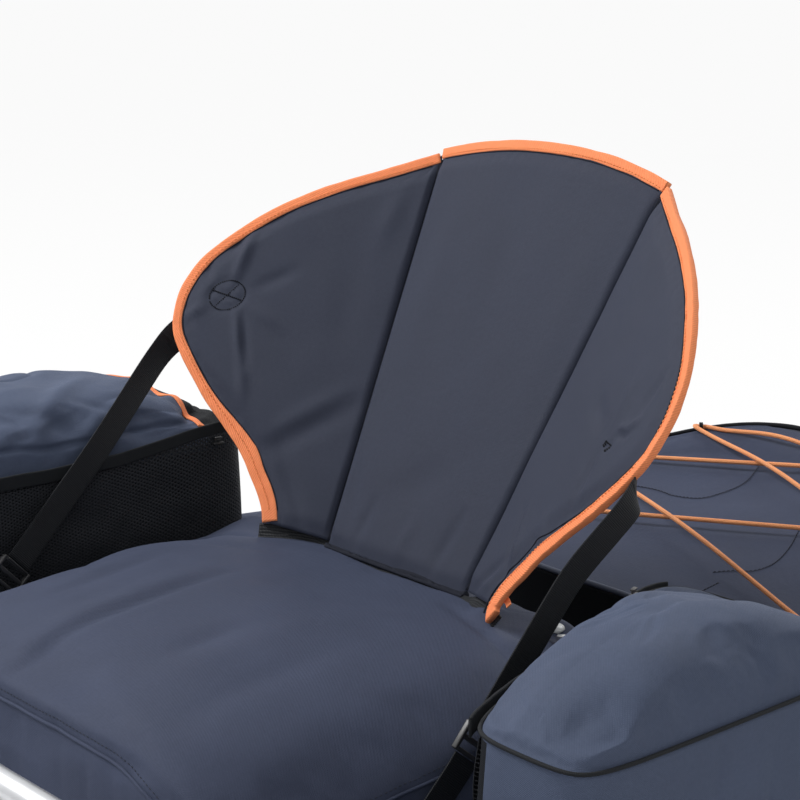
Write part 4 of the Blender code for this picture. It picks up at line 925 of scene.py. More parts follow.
def seat():
    """The seat: a crowned air cushion in its nylon cover, with a sewn rear roll and soft folds."""
    bm = bmesh.new()
    bmesh.ops.create_cube(bm, size=2.0)
    bmesh.ops.subdivide_edges(bm, edges=bm.edges, cuts=43, use_grid_fill=True)
    co = np.array([v.co for v in bm.verts])
    u, v, w = co.T
    narrow = np.where(w > 0, 1.0, 1.0 + (SEAT_FOOT_HALF / SEAT_HALF - 1.0) * -w)
    bulge = 1.0 + 0.018 * (1.0 - w * w)
    x = u * seat_reach(v) * narrow * bulge
    middle, half = (SEAT_FRONT + SEAT_BACK) / 2.0, (SEAT_BACK - SEAT_FRONT) / 2.0
    y = middle + v * np.sqrt(1.0 - 0.10 * u * u) * half * (1.0 + 0.012 * (1.0 - w * w))
    top = seat_top(u, v)
    foot = -SEAT_THICKNESS
    z = foot + (top - foot) * (w + 1.0) / 2.0
    for vert, place in zip(bm.verts, np.stack([x, y, z], 1) + HINGE):
        vert.co = place
    for _ in range(5):
        bmesh.ops.smooth_vert(bm, verts=bm.verts, factor=0.5, use_axis_x=True, use_axis_y=True,
                              use_axis_z=True)
    data = bpy.data.meshes.new("seat_cushion")
    bm.to_mesh(data)
    bm.free()
    points = np.array([v.co for v in data.vertices])
    faces = [list(p.vertices) for p in data.polygons]
    bpy.data.meshes.remove(data)
    points[:, 2] += 0.0022 * smoothstep((points[:, 2] - 0.33) / 0.04)
    obj = piece("seat_cushion", points, faces, NYLON, stands_for=["seat_cover", "seat_bladder"],
                slot="grey_nylon")
    held = 1.0 - smoothstep((points[:, 2] - 0.21) / 0.03)
    relaxed(obj, pressure=1.5, grow=0.010, cap=0.004, pinned=held)
    subdivided(obj)
    points, normals = vertex_array(obj), vertex_normals(obj)
    local = points - HINGE
    upper = smoothstep(normals[:, 2] * 1.6) * smoothstep((points[:, 2] - 0.30) / 0.05)
    marks = [
        (-0.03, -0.40, -0.082, -0.14, 0.008, -0.0042), (-0.048, -0.40, -0.104, -0.14, 0.018, 0.0034),
        (-0.14, -0.29, -0.176, -0.15, 0.011, -0.0030), (-0.155, -0.29, -0.195, -0.15, 0.016, 0.0022),
        (0.065, -0.31, 0.05, -0.22, 0.014, -0.0030), (0.105, -0.34, 0.080, -0.16, 0.022, 0.0024),
        (-0.22, -0.36, -0.245, -0.20, 0.012, -0.0026), (0.16, -0.36, 0.14, -0.18, 0.016, -0.0026),
        (0.02, -0.12, 0.10, -0.07, 0.014, -0.0022), (-0.20, -0.10, -0.10, -0.045, 0.010, -0.0026),
        (-0.262, -0.075, -0.175, -0.036, 0.0042, -0.0070), (0.262, -0.075, 0.105, -0.030, 0.0050, -0.0040),
        (-0.262, -0.20, -0.262, -0.06, 0.030, 0.0055), (-0.27, -0.42, -0.27, -0.32, 0.030, -0.0060),
        (-0.252, -0.040, -0.215, 0.025, 0.026, 0.0130), (-0.235, 0.000, -0.12, 0.020, 0.018, 0.0070),
        (0.150, -0.030, 0.126, 0.020, 0.009, 0.0055), (0.168, 0.032, 0.246, 0.020, 0.010, 0.0060),
        (0.138, 0.004, 0.165, 0.030, 0.006, -0.0040), (0.188, -0.030, 0.250, -0.012, 0.008, -0.0040),
        (0.225, -0.060, 0.252, -0.010, 0.012, 0.0050),
    ]
    rise = folds(local[:, 0], local[:, 1], marks)
    rise += 0.0016 * clouds(points, 0.15, 5, 3)
    edge = (np.exp(-((np.abs(local[:, 0]) - 0.262) / 0.030) ** 2)
            + np.exp(-((local[:, 1] - 0.035) / 0.02) ** 2))
    spots = points * np.array((0.35, 1.0, 0.5))
    rise -= 0.0016 * edge * ridges(spots, 0.020, 8)
    points += normals * (rise * upper)[:, None]
    side = (1.0 - upper) * smoothstep((points[:, 2] - 0.205) / 0.03)
    vertical = points * np.array((1.0, 1.0, 0.22))
    points -= normals * (0.0016 * side * ridges(vertical, 0.030, 9))[:, None]
    set_vertices(obj, points)
    box_uv(obj)
    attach(obj, "hull")
    seat_seam(obj)
    hinge_webbing()
    seat_valve()


def seat_height(x, y):
    """Height of the seat's top at a place, without its small folds."""
    x, y = np.asarray(x, float), np.asarray(y, float) - HINGE[1]
    v = np.clip((2.0 * y - SEAT_FRONT - SEAT_BACK) / (SEAT_BACK - SEAT_FRONT), -1.0, 1.0)
    return HINGE[2] + seat_top(np.clip(x / seat_reach(v), -1.0, 1.0), v) + 0.0022


def seat_seam(cushion):
    """The gusset seam round the seat's shoulder: a thin welt with a row of stitches just above it."""
    tree = BVHTree.FromObject(cushion, bpy.context.evaluated_depsgraph_get())
    middle = np.array((0.0, HINGE[1] + (SEAT_FRONT + SEAT_BACK) / 2.0, 0.0))
    places, normals = [], []
    for turn in np.linspace(0.0, 2.0 * math.pi, 420, endpoint=False):
        way = np.array((math.cos(turn), math.sin(turn), 0.0))
        u, v = way[0], way[1]
        square = max(abs(u), abs(v))
        height = HINGE[2] + float(seat_top(np.float64(u / square * 0.97),
                                           np.float64(v / square * 0.97))) - 0.019
        start = middle + way * 0.6 + (0.0, 0.0, height)
        hit, normal, _, _ = tree.ray_cast(Vector(start), Vector(-way), 0.6)
        if hit is not None:
            places.append(hit)
            normals.append(normal)
    places, normals = np.array(places), unit(np.array(normals))
    closed = np.vstack([places, places[:1]])
    welt = eased(closed + np.vstack([normals, normals[:1]]) * 0.0006, 2)
    sweep("seat_welt", welt[:-1], round_section(0.0016, 8), NYLON, "hull", closed=True, slot="grey_nylon")
    higher = [tree.find_nearest(Vector(place + (0.0, 0.0, 0.0075)))[0] for place in closed]
    parts = stitch_parts(np.array(higher), np.vstack([normals, normals[:1]]), step=0.0050)
    joined("seat_stitches", parts, THREAD, "hull", slot="grey_nylon")


def hinge_webbing():
    """The black webbing sewn across the seat, under the feet of the panels, frayed at its near end."""
    line = curve_through([(-0.168, -0.070), (-0.148, -0.054), (-0.118, -0.038), (-0.06, -0.0355),
                          (0.012, -0.037),
                          (0.098, -0.043), (0.142, -0.053), (0.174, -0.069)], 240)
    spots = np.stack([line[:, 0], line[:, 1]], 1)
    way = unit(np.gradient(line, axis=0))
    across = np.stack([-way[:, 1], way[:, 0]], 1)
    wobble = 0.0008 * clouds(spots, 0.016, 3, 3)
    stand = (0.0050 + 0.0110 * smoothstep((-0.090 - line[:, 0]) / 0.03)
             + 0.0050 * smoothstep((line[:, 0] - 0.10) / 0.03))
    rows = []
    for width in np.linspace(-0.5, 0.5, 11):
        fray = 0.0014 * clouds(np.stack([line[:, 0], line[:, 0] * 0 + 0.3 * width], 1), 0.004, 5, 3)
        place = line + across * (width * 0.0110 + wobble + fray * (width < -0.35))[:, None]
        lift = (0.0016 + 0.0016 * smoothstep((line[:, 0] - 0.11) / 0.02) + stand * (width + 0.5) ** 1.5
                + 0.0005 * clouds(spots + width, 0.009, 6, 2))
        rows.append(np.stack([place[:, 0], place[:, 1], seat_height(place[:, 0], place[:, 1]) + lift], 1))
    cloth_shell("hinge_webbing", np.array(rows), 0.0012, WEBBING, "hull", stands_for=["hinge_tape"],
                slot="webbing")
    threads = []
    for number in range(9):
        at = line[-1 - 3 * number] + (0.0, -0.004)
        t = np.linspace(0.0, 1.0, 8)
        bend = clouds(np.stack([t, t * 0 + number * 1.7], 1), 0.5, 7, 2)
        x = at[0] + 0.0090 * t * math.sin(number * 2.1) + 0.003 * bend
        y = at[1] - 0.0085 * t
        threads.append(tube_part(np.stack([x, y, seat_height(x, y) + 0.0012 + 0.0014 * t * (1.0 - t)], 1),
                                 0.00045, 6))
    joined("hinge_threads", threads, DARK_THREAD, "hull", slot="webbing")


def seat_valve():
    """The soft clear valve with its flip plug, in a sewn welt of dark cloth."""
    x, y = SEAT_VALVE_AT
    v = (2.0 * y - SEAT_FRONT - SEAT_BACK) / (SEAT_BACK - SEAT_FRONT)
    at = HINGE + (x, y, float(seat_top(np.float64(x / float(seat_reach(np.float64(v)))), np.float64(v))))
    up = (0.0, 0.0, 1.0)
    neck = [(0.0003, 0.0042), (0.0060, 0.0042), (0.0070, 0.0036), (0.0074, 0.0030), (0.0100, 0.0026),
            (0.0122, 0.0022),
            (0.0130, 0.0016), (0.0126, 0.0009), (0.0070, -0.0006), (0.0070, -0.0290), (0.0003, -0.0290)]
    turned_piece("valve_neck", neck, at, up, CLEAR, "hull", stands_for=["seat_valve"], slot="clear_valve")
    plug = [(0.0003, 0.0098), (0.0030, 0.0097), (0.0058, 0.0092), (0.0078, 0.0083), (0.0090, 0.0073),
            (0.0095, 0.0062),
            (0.0095, 0.0050), (0.0090, 0.0044), (0.0062, 0.0043), (0.0003, 0.0043)]
    turned_piece("valve_plug", plug, at, up, CLEAR, "seat_plug", stands_for=["seat_valve_plug"],
                 slot="clear_valve")
    turn = np.linspace(0.0, 2.0 * math.pi, 72, endpoint=False)
    shape = np.stack([np.sign(np.cos(turn)) * np.abs(np.cos(turn)) ** 0.6 * 0.027,
                      np.sign(np.sin(turn)) * np.abs(np.sin(turn)) ** 0.6 * 0.019], 1)
    rings = []
    for grow, lift in ((0.44, 0.0006), (0.46, 0.0016), (0.62, 0.0012), (0.82, 0.0016), (0.96, 0.0022),
                       (1.02, 0.0014),
                       (1.03, -0.0004)):
        spots = shape * grow
        pucker = 0.0008 * clouds(np.concatenate([spots, spots[:, :1] * 0 + grow], 1), 0.008, 47, 2)
        z = seat_height(at[0] + spots[:, 0], at[1] + spots[:, 1]) + lift + pucker
        rings.append(np.stack([at[0] + spots[:, 0], at[1] + spots[:, 1], z], 1))
    rings = np.array(rings)
    piece("valve_welt", rings.reshape(-1, 3), grid_faces(*rings.shape[:2], ring=True), DARK, "hull",
          slot="dark_nylon")


# Backrest

def distance_to(points, line):
    """Distance from each 2D point to a polyline."""
    best = np.full(points.shape[:-1], 1e9)
    for a, b in zip(line[:-1], line[1:]):
        way = b - a
        t = np.clip(((points - a) @ way) / (way @ way), 0.0, 1.0)
        best = np.minimum(best, np.linalg.norm(points - a - t[..., None] * way, axis=-1))
    return best


def inset(line, amount):
    """A polyline moved to its right-hand side."""
    line = np.asarray(line, float)
    way = unit(np.gradient(line, axis=0))
    return line + np.stack([way[:, 1], -way[:, 0]], 1) * amount


WING_CURVE = curve_through(WING_EDGE, 220)
ARCH = np.vstack([CENTRE_TOP * (-1.0, 1.0), CENTRE_TOP[-2::-1]])
ARCH_CURVE = curve_through(ARCH, 160)

WING_MARKS = {
    -1: [
        (0.1823, 0.248, 0.1784, 0.300, 0.0060, 0.0040), (0.1975, 0.2764, 0.192, 0.306, 0.0060, -0.0032),
        (0.1700, 0.2120, 0.150, 0.165, 0.0045, 0.0036), (0.150, 0.165, 0.1335, 0.1234, 0.0060, 0.0024),
        (0.1620, 0.2080, 0.142, 0.160, 0.0050, -0.0024), (0.0135, 0.1438, 0.0936, 0.0782, 0.012, -0.0026),
        (0.0200, 0.1600, 0.0990, 0.0930, 0.010, 0.0020), (0.0284, 0.375, 0.039, 0.3177, 0.012, 0.0020),
        (0.0948, 0.0994, 0.040, 0.037, 0.010, -0.0024), (0.206, 0.212, 0.228, 0.196, 0.0045, 0.0026),
        (0.160, 0.240, 0.120, 0.268, 0.0070, -0.0020), (0.156, 0.222, 0.118, 0.206, 0.0070, 0.0018),
        (0.210, 0.242, 0.224, 0.262, 0.0045, -0.0022), (0.07, 0.06, 0.03, 0.012, 0.0070, -0.0024),
        (0.190, 0.300, 0.150, 0.328, 0.0060, -0.0018), (0.060, 0.30, 0.045, 0.18, 0.020, -0.0014),
    ],
    1: [
        (0.1628, 0.1974, 0.1800, 0.2000, 0.0030, 0.0036), (0.1800, 0.2000, 0.1960, 0.2110, 0.0030, 0.0030),
        (0.1620, 0.1900, 0.1850, 0.1930, 0.0030, -0.0034), (0.1500, 0.1780, 0.1660, 0.1810, 0.0040, -0.0024),
        (0.1437, 0.1685, 0.1423, 0.120, 0.0060, -0.0026), (0.0499, 0.0969, 0.0706, 0.0313, 0.0055, -0.0030),
        (0.0560, 0.0990, 0.0770, 0.0340, 0.0060, 0.0020), (0.1129, 0.0608, 0.1031, 0.0978, 0.0080, 0.0026),
        (0.130, 0.190, 0.090, 0.215, 0.010, -0.0022), (0.150, 0.200, 0.150, 0.250, 0.0080, 0.0024),
        (0.040, 0.37, 0.050, 0.30, 0.014, 0.0016), (0.06, 0.05, 0.02, 0.010, 0.0060, -0.0026),
        (0.185, 0.215, 0.200, 0.255, 0.0060, -0.0018),
    ],
}
CENTRE_MARKS = [
    (-0.03, 0.40, 0.00, 0.27, 0.030, -0.0018), (-0.10, 0.36, -0.085, 0.20, 0.020, 0.0016),
    (0.10, 0.36, 0.085, 0.18, 0.022, 0.0016), (-0.05, 0.06, 0.03, 0.11, 0.020, -0.0016),
    (0.05, 0.012, 0.065, 0.07, 0.0080, -0.0022), (-0.06, 0.012, -0.055, 0.055, 0.0070, -0.0022),
    (0.0, 0.012, 0.006, 0.05, 0.0080, 0.0016), (-0.1, 0.10, -0.075, 0.02, 0.010, -0.0018),
]
SEWN_AT = {-1: (0.1863, 0.2281), 1: (0.1540, 0.1790)}
SEWN_LEAN = math.radians(-24.0)
SEWN_SIZE = (0.0200, 0.0158)


def sewn_frame(side, x, y):
    """A place on a wing in the sewn mark's own axes."""
    dx, dy = x - SEWN_AT[side][0], y - SEWN_AT[side][1]
    return (dx * math.cos(SEWN_LEAN) + dy * math.sin(SEWN_LEAN),
            dy * math.cos(SEWN_LEAN) - dx * math.sin(SEWN_LEAN))


def panel_relief(side, x, y, edge, fold):
    """Folds of a panel's front, with the dimple of the sewn mark."""
    marks = CENTRE_MARKS if side == 0 else WING_MARKS[side]
    high = folds(x, y, marks) * smoothstep((edge - 0.006) / 0.01) * smoothstep(fold / 0.006)
    if side == -1:
        a, b = sewn_frame(side, x, y)
        round_it = np.hypot(a / SEWN_SIZE[0], b / SEWN_SIZE[1])
        high -= 0.0016 * np.exp(-((round_it - 1.0) / 0.16) ** 2)
        cross = np.minimum(np.abs(a * 0.58 - b), np.abs(a * 0.58 + b)) / 0.0018
        high -= 0.0014 * np.exp(-cross ** 2) * (round_it < 1.0)
    return high


def under_tape(side, edge, y):
    """The distance from the bound edge, less what the wider tape at a wing's foot covers."""
    return np.maximum(edge - 0.0060 * abs(side) * smoothstep((0.165 - y) / 0.05), 0.0)


def panel_profile(edge, fold, foot):
    """Half thickness of a foam panel by its distances to the bound edge, the fold and the foot."""
    puff = smoothstep((edge - 0.009) / 0.020) ** 0.8
    crease = smoothstep(fold / 0.0075) ** 0.6
    base = smoothstep(foot / 0.020) ** 0.8
    return 0.0009 + 0.0011 * smoothstep(edge / 0.004) + 0.0040 * puff * crease * base - 0.0010 * (1.0
                                                                                                  - crease)


def panel(name, side, flat, edge, fold, foot, nodes):
    """A padded panel: front and back skins over foam, pinched at its edges."""
    x, y = flat[..., 0], flat[..., 1]
    half = panel_profile(under_tape(side, edge, y), fold, foot)
    spots = np.stack([x, y, np.full_like(x, 2.0 * side)], -1)
    inside = smoothstep((edge - 0.008) / 0.02) * smoothstep(fold / 0.01)
    front = half + panel_relief(side, x, y, edge, fold)
    front += 0.0009 * clouds(spots, 0.075, 31 + side, 2) * inside
    rim = np.exp(-((edge - 0.016) / 0.008) ** 2)
    front -= 0.0007 * rim * ridges(spots, 0.012, 37 + side)
    back = half + 0.0009 * clouds(spots, 0.060, 41 + side, 2) * inside - 0.0007 * rim * ridges(spots,
                                                                                               0.012, 43)
    top = on_panel(side, np.stack([x, y, np.maximum(front, 0.0003)], -1))
    bottom = on_panel(side, np.stack([x, y, -np.maximum(back, 0.0003)], -1))
    body = {0: "backrest", 1: "wing_left", -1: "wing_right"}[side]
    obj = shell(name, top, bottom, PANEL, body, uv=flat, stands_for=nodes, slot="grey_nylon")
    return obj


def face_height(side, x, y):
    """Front half thickness of a wing or the centre panel at a place, with its folds."""
    at = np.stack(np.broadcast_arrays(np.asarray(x, float), np.asarray(y, float)), -1)
    if side == 0:
        edge = distance_to(at, ARCH_CURVE)
        fold = (BASE_HALF + math.tan(TILT) * at[..., 1] - np.abs(at[..., 0])) * math.cos(TILT)
    else:
        edge = distance_to(at, WING_CURVE)
        fold = at[..., 0]
    spots = np.concatenate([at, np.full(at.shape[:-1] + (1,), 2.0 * side)], -1)
    inside = smoothstep((edge - 0.008) / 0.02) * smoothstep(fold / 0.01)
    high = panel_profile(under_tape(side, edge, at[..., 1]), fold, at[..., 1] - 0.004)
    high += panel_relief(side, at[..., 0], at[..., 1], edge, fold)
    return high + 0.0009 * clouds(spots, 0.075, 31 + side, 2) * inside


def backrest():
    """Three padded panels, their bindings, fold seams, stitched marks and the rolled hinge at the foot."""
    foot_y = -0.0010
    across = np.linspace(-1.0, 1.0, 79)
    up = np.linspace(0.0, 1.0, 121)
    s, t = np.meshgrid(across, up)
    slope = math.tan(TILT)
    guess = foot_y + t * 0.43
    for _ in range(6):
        x = s * (BASE_HALF + slope * guess - 0.0012)
        top = np.interp(x, ARCH_CURVE[:, 0], ARCH_CURVE[:, 1]) - 0.0035
        guess = foot_y + t * (top - foot_y)
    flat = np.stack([x, guess], -1)
    edge = distance_to(flat, ARCH_CURVE)
    fold = (BASE_HALF + slope * guess - np.abs(x)) * math.cos(TILT)
    panel("panel_centre", 0, flat, edge, fold, guess + 0.002,
          ["backrest_centre_cover", "backrest_centre_core"])
    foot_y = 0.0050
    for label, side in SIDES:
        s, t = np.meshgrid(np.linspace(0.0, 1.0, 73) ** 0.9, np.linspace(0.0, 1.0, 131))
        free = evenly(inset(WING_CURVE, 0.0035)[::-1], 131)
        free[:, 1] = np.maximum(free[:, 1], foot_y)
        spine = np.stack([np.full(131, 0.0012), np.linspace(foot_y, 0.4215, 131)], 1)
        flat = spine[:, None] * (1.0 - s[..., None]) + free[:, None] * s[..., None]
        flat[..., 0] = np.maximum(flat[..., 0], 0.0012)
        edge = distance_to(flat, WING_CURVE)
        panel(f"panel_wing_{label}", side, flat, edge, flat[..., 0], flat[..., 1] - 0.004,
              [f"backrest_wing_{label}_cover", f"backrest_wing_{label}_core"])
        fold_seam(label, side)
        wing_mark(label, side)
    bindings()
    foot_roll()


def binding_section(count, path_length, seed):
    """The folded tape's section along its run: flat faces, round outer edge, small puckers."""
    outer = np.stack([0.0050 + 0.0008 * np.cos(np.linspace(-1.4, 1.4, 7)),
                      0.0030 * np.sin(np.linspace(-1.4, 1.4, 7))], 1)
    upper = np.stack([np.linspace(0.0035, -0.0050, 7), np.full(7, 0.0033)], 1)
    base = np.vstack([outer, upper, (-0.0057, 0.0026), (-0.0057, -0.0026), upper[::-1] * (1.0, -1.0)])
    spots = np.stack([np.linspace(0.0, path_length, count), np.zeros(count), np.zeros(count)], 1)
    section = np.repeat(base[None], count, 0)
    section[..., 1] *= (1.0 + 0.09 * clouds(spots, 0.011, seed, 3))[:, None]
    section[..., 0] *= (1.0 + 0.07 * clouds(spots, 0.026, seed + 5, 2))[:, None]
    section[..., 1] += (0.0005 * clouds(spots, 0.05, seed + 9, 2))[:, None]
    return section


BINDING_HOOK = np.array([(0.0742, 0.0010), (0.0768, -0.0018), (0.0800, -0.0030)])


def bindings():
    """Orange tape folded over the free edges, with a row of stitches on each face."""
    runs = [("centre", 0, inset(ARCH_CURVE, 0.0053), "backrest")]
    for label, side in SIDES:
        line = inset(WING_CURVE, 0.0053)
        line = line[line[:, 0] > 0.0002]
        if side > 0:
            line = np.vstack([line, BINDING_HOOK])
        runs.append((f"wing_{label}", side, line, f"wing_{label}"))
    for number, (label, side, line, body) in enumerate(runs):
        if side == 0:
            line = line[np.abs(line[:, 0]) < BASE_HALF + math.tan(TILT) * line[:, 1] - 0.0003]
        line = eased(evenly(line, 240), 6)
        path = on_panel(side, np.concatenate([line, np.zeros((240, 1))], 1))
        up = panel_way(side, np.tile((0.0, 0.0, 1.0), (240, 1)))
        section = binding_section(240, run_length(path)[-1], 60 + number)
        share = smoothstep((np.arange(240) - 170.0) / 40.0) * abs(side)
        if side != 0:
            section[..., 0] *= (1.0 + 0.50 * share)[:, None]
            section[..., 0] -= (0.0026 * share)[:, None]
            section[..., 1] *= (1.0 - 0.16 * share)[:, None]
        sweep(f"binding_tape_{label}", path, section, TAPE, body, up=up,
              stands_for=[f"binding_{label}"], slot="orange_tape")
        parts = []
        sewn = inset(line, 0.0028)[3:-3]
        for face in (1.0, -1.0):
            places = np.concatenate([sewn, np.full((len(sewn), 1), face * 0.00345)], 1)
            normal = panel_way(side, np.tile((0.0, 0.0, face), (len(sewn), 1)))
            parts += stitch_parts(on_panel(side, places), normal, step=0.0044, radius=0.00045)
        joined(f"binding_stitches_{label}", parts, PALE_THREAD, body, slot="orange_tape")
        shade = (line + (inset(line, 1.0) - line) * (0.0064 + 0.0050 * share)[:, None])[4:-4]
        high = face_height(side, shade[:, 0], shade[:, 1]) + 0.0001
        shade = on_panel(side, np.concatenate([shade, high[:, None]], 1))
        sweep(f"binding_shadow_{label}", shade, round_section(0.0007, 6), SEAM_DARK, body, slot="dark_nylon")
    end = on_panel(1, np.array([(0.0800, 0.0190, -0.0030), (0.0860, 0.0175, -0.0045),
                                (0.0905, 0.0150, -0.0055)]))
    sweep("binding_tail", curve_through(end, 14), flat_section(0.0062, 0.0012), TAPE, "wing_left",
          up=panel_way(1, np.tile((0.0, 0.2, 1.0), (14, 1))), slot="orange_tape")


def fold_seam(label, side):
    """The live hinge: a dark pressed web between panel and wing."""
    heights = np.linspace(0.006, 0.4120, 90)
    across = np.linspace(-1.0, 1.0, 7) * 0.0024
    rows = []
    for x in across:
        y = heights
        high = 0.0008 - 0.0004 * math.exp(-(x / 0.0012) ** 2) + 0.0002 * clouds(np.stack([y, y * 0 + x],
                                                                                         1), 0.02, 7)
        if x < 0:
            inward = BASE_HALF + math.tan(TILT) * y + x / math.cos(TILT)
            rows.append(on_panel(0, np.stack([side * inward, y, high], -1)))
        else:
            rows.append(on_panel(side, np.stack([np.full_like(y, x), y, high], -1)))
    web = cloth_shell(f"fold_web_{label}", np.array(rows) if side > 0 else np.array(rows)[::-1], 0.0016,
                      SEAM_DARK,
                      stands_for=[f"fold_seam_{label}"], slot="dark_nylon")
    middle = on_panel(0, np.array((side * (BASE_HALF + math.tan(TILT) * 0.2), 0.2, 0.0)))
    way = panel_way(0, np.array((side * math.cos(TILT), -math.sin(TILT), 0.0)))
    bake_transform(web)


def wing_mark(label, side):
    """Where the strap is sewn on behind the wing: a stitched oval with a cross, or two worn bar tacks."""
    runs = []
    if side < 0:
        turn = np.linspace(0.0, 2.0 * math.pi, 90)
        t = np.linspace(-1.0, 1.0, 40)
        wide, high = SEWN_SIZE
        runs.append(np.stack([wide * np.cos(turn), high * np.sin(turn)], 1))
        runs.append(np.stack([wide * 0.80 * t, high * 0.62 * t], 1))
        runs.append(np.stack([wide * 0.80 * t, -high * 0.62 * t], 1))
    else:
        t = np.linspace(-0.0042, 0.0042, 20)
        for shift in (-0.0050, -0.0032, 0.0034, 0.0050):
            runs.append(np.stack([t * 0.0 + shift + 0.2 * t, t], 1))
        t = np.linspace(-0.0060, 0.0070, 20)
        runs.append(np.stack([t, 0.0028 + 0.3 * t], 1))
    parts = []
    for run in runs:
        spun = np.stack([run[:, 0] * math.cos(SEWN_LEAN) - run[:, 1] * math.sin(SEWN_LEAN),
                         run[:, 0] * math.sin(SEWN_LEAN) + run[:, 1] * math.cos(SEWN_LEAN)],
                         1) + SEWN_AT[side]
        high = face_height(side, spun[:, 0], spun[:, 1])
        path = on_panel(side, np.concatenate([spun, high[:, None]], 1))
        normal = panel_way(side, np.tile((0.0, 0.0, 1.0), (len(spun), 1)))
        parts += stitch_parts(path, normal, step=0.0024, share=0.8, radius=0.0008)
    joined(f"strap_sewing_{label}", parts, DARK_THREAD, f"wing_{label}", slot="dark_nylon")


def foot_roll():
    """Rolled webbing along the foot of the centre panel, which turns on the seat's tape."""
    count = 140
    x = np.linspace(-0.1, 0.1, count)
    spots = np.stack([x, x * 0, x * 0], 1)
    y = 0.0015 * clouds(spots, 0.030, 15, 2)
    z = 0.0008 * clouds(spots, 0.022, 16, 2)
    path = on_panel(0, np.stack([x, y, z], 1))
    section = np.repeat(round_section(0.0042, 14, 0.95)[None], count, 0)
    section *= (1.0 + 0.10 * clouds(spots, 0.010, 17, 2))[:, None, None]
    sweep("hinge_roll", path, section, SEAM_DARK, "backrest", stands_for=["hinge_bead"], slot="webbing")
    rows = []
    for k, low in enumerate(np.linspace(0.0, 1.0, 6)):
        fray = 0.0016 * clouds(spots, 0.005, 18, 3) * (low < 0.3)
        height = 0.0004 - 0.0030 * low + fray * 0.6
        out = 0.0036 + 0.0012 * np.sin(low * 2.4) + 0.0004 * clouds(spots, 0.010, 22 + k, 2)
        rows.append(on_panel(0, np.stack([x * (1.0 - 0.01 * low), height, out], 1)))
    cloth_shell("foot_webbing", np.array(rows), 0.0010, SEAM_DARK, "backrest", slot="webbing")


# Straps

def strap_frames(side):
    """Route and facing of one strap: behind the wing, over its edge, down to the adjuster."""
    behind = -0.0068
    stitch = on_panel(side, (*STRAP_STITCH[side], behind))
    edge = on_panel(side, (*STRAP_PASS[side], behind - 0.003))
    adjuster = np.array(ADJUSTER_AT[side]) * (side, 1.0, 1.0)
    bend = edge + (adjuster - edge) * STRAP_BEND[side][0]
    bend[0] = side * STRAP_INBOARD
    bend[1] -= STRAP_BEND[side][1]
    down = unit(adjuster - bend)
    end = adjuster - down * 0.0139
    route = np.vstack([
        stitch + (edge - stitch) * np.linspace(0.0, 1.0, 14)[:-1, None],
        edge + (bend - edge) * np.linspace(0.0, 1.0, 24)[:-1, None],
        bend + (end - bend) * np.linspace(0.0, 1.0, 34)[:, None],
    ])
    route = eased(route, 26, 3)
    flat = panel_way(side, np.array((0.0, 0.0, 1.0)))
    sideways = np.array((-side, 0.0, 0.0))
    share = smoothstep((np.arange(len(route)) - 3.0) / 14.0)[:, None]
    facing = unit(flat * (1.0 - share) + sideways * share)
    return route, facing, adjuster, down


def straps():
    for label, side in SIDES:
        route, facing, adjuster, down = strap_frames(side)
        split = 13
        section = flat_section(STRAP_WIDTH, 0.0017)
        sweep(f"strap_upper_{label}", route[:split + 2], section, WEBBING, up=facing[:split + 2],
                      slot="webbing", body=f"wing_{label}")
        lower = sweep(f"strap_web_{label}", route[split:], section, WEBBING, up=facing[split:],
                      stands_for=[f"strap_{label}"], slot="webbing")
        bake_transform(lower)
        across = unit(np.cross(down, np.array((-side, 0.0, 0.0))))
        face = np.cross(across, down)
        ladder_lock(label, adjuster, across, down, face)
        anchor(label, side, adjuster, down)


def box_part(centre, axes, size, round_off=0.0008):
    """A block with softened edges as (verts, faces)."""
    bm = bmesh.new()
    bmesh.ops.create_cube(bm, size=1.0)
    bmesh.ops.scale(bm, vec=size, verts=bm.verts)
    bmesh.ops.bevel(bm, geom=bm.edges[:], offset=round_off, segments=3, affect="EDGES", profile=0.5)
    verts = np.array([v.co for v in bm.verts]) @ np.array(axes) + centre
    bm.verts.index_update()
    faces = [[v.index for v in f.verts] for f in bm.faces]
    bm.free()
    return verts, faces


def ladder_lock(label, at, across, down, face):
    """The ladder-lock adjuster: two side rails, three bars and a lifting lip."""
    axes = (across, down, face)
    parts = []
    for end in (-1.0, 1.0):
        parts.append(box_part(at + across * end * 0.0180, axes, (0.0040, 0.0258, 0.0056), 0.0012))
    for step, size in ((-0.0110, 0.0038), (0.0, 0.0046), (0.0110, 0.0038)):
        parts.append(box_part(at + down * step, axes, (0.0345, size, 0.0046), 0.0012))
    parts.append(box_part(at - down * 0.0118 + face * 0.0006, axes, (0.030, 0.0022, 0.0058), 0.0008))
    obj = joined(f"ladder_lock_{label}", parts, PLASTIC, f"adjuster_{label}",
                 stands_for=[f"strap_adjuster_{label}"], slot="black_plastic")
    obj.data.set_sharp_from_angle(angle=math.radians(35.0))


def anchor(label, side, adjuster, down):
    """The short sewn webbing between the adjuster and the pontoon."""
    first = adjuster + down * 0.0139
    turned = first + down * 0.014
    low = np.array(ANCHOR_AT[side]) * (side, 1.0, 1.0)
    route = np.vstack([first + down * np.linspace(0.0, 0.014, 8)[:-1, None],
                       turned + (low - turned) * np.linspace(0.0, 1.0, 26)[:, None]])
    route = eased(route, 8, 2)
    sideways = np.tile((-side, 0.0, 0.0), (len(route), 1))
    sweep(f"anchor_web_{label}", route, flat_section(STRAP_WIDTH, 0.0017), WEBBING, "hull", up=sideways,
          stands_for=[f"strap_anchor_{label}"], slot="webbing")


# Pockets

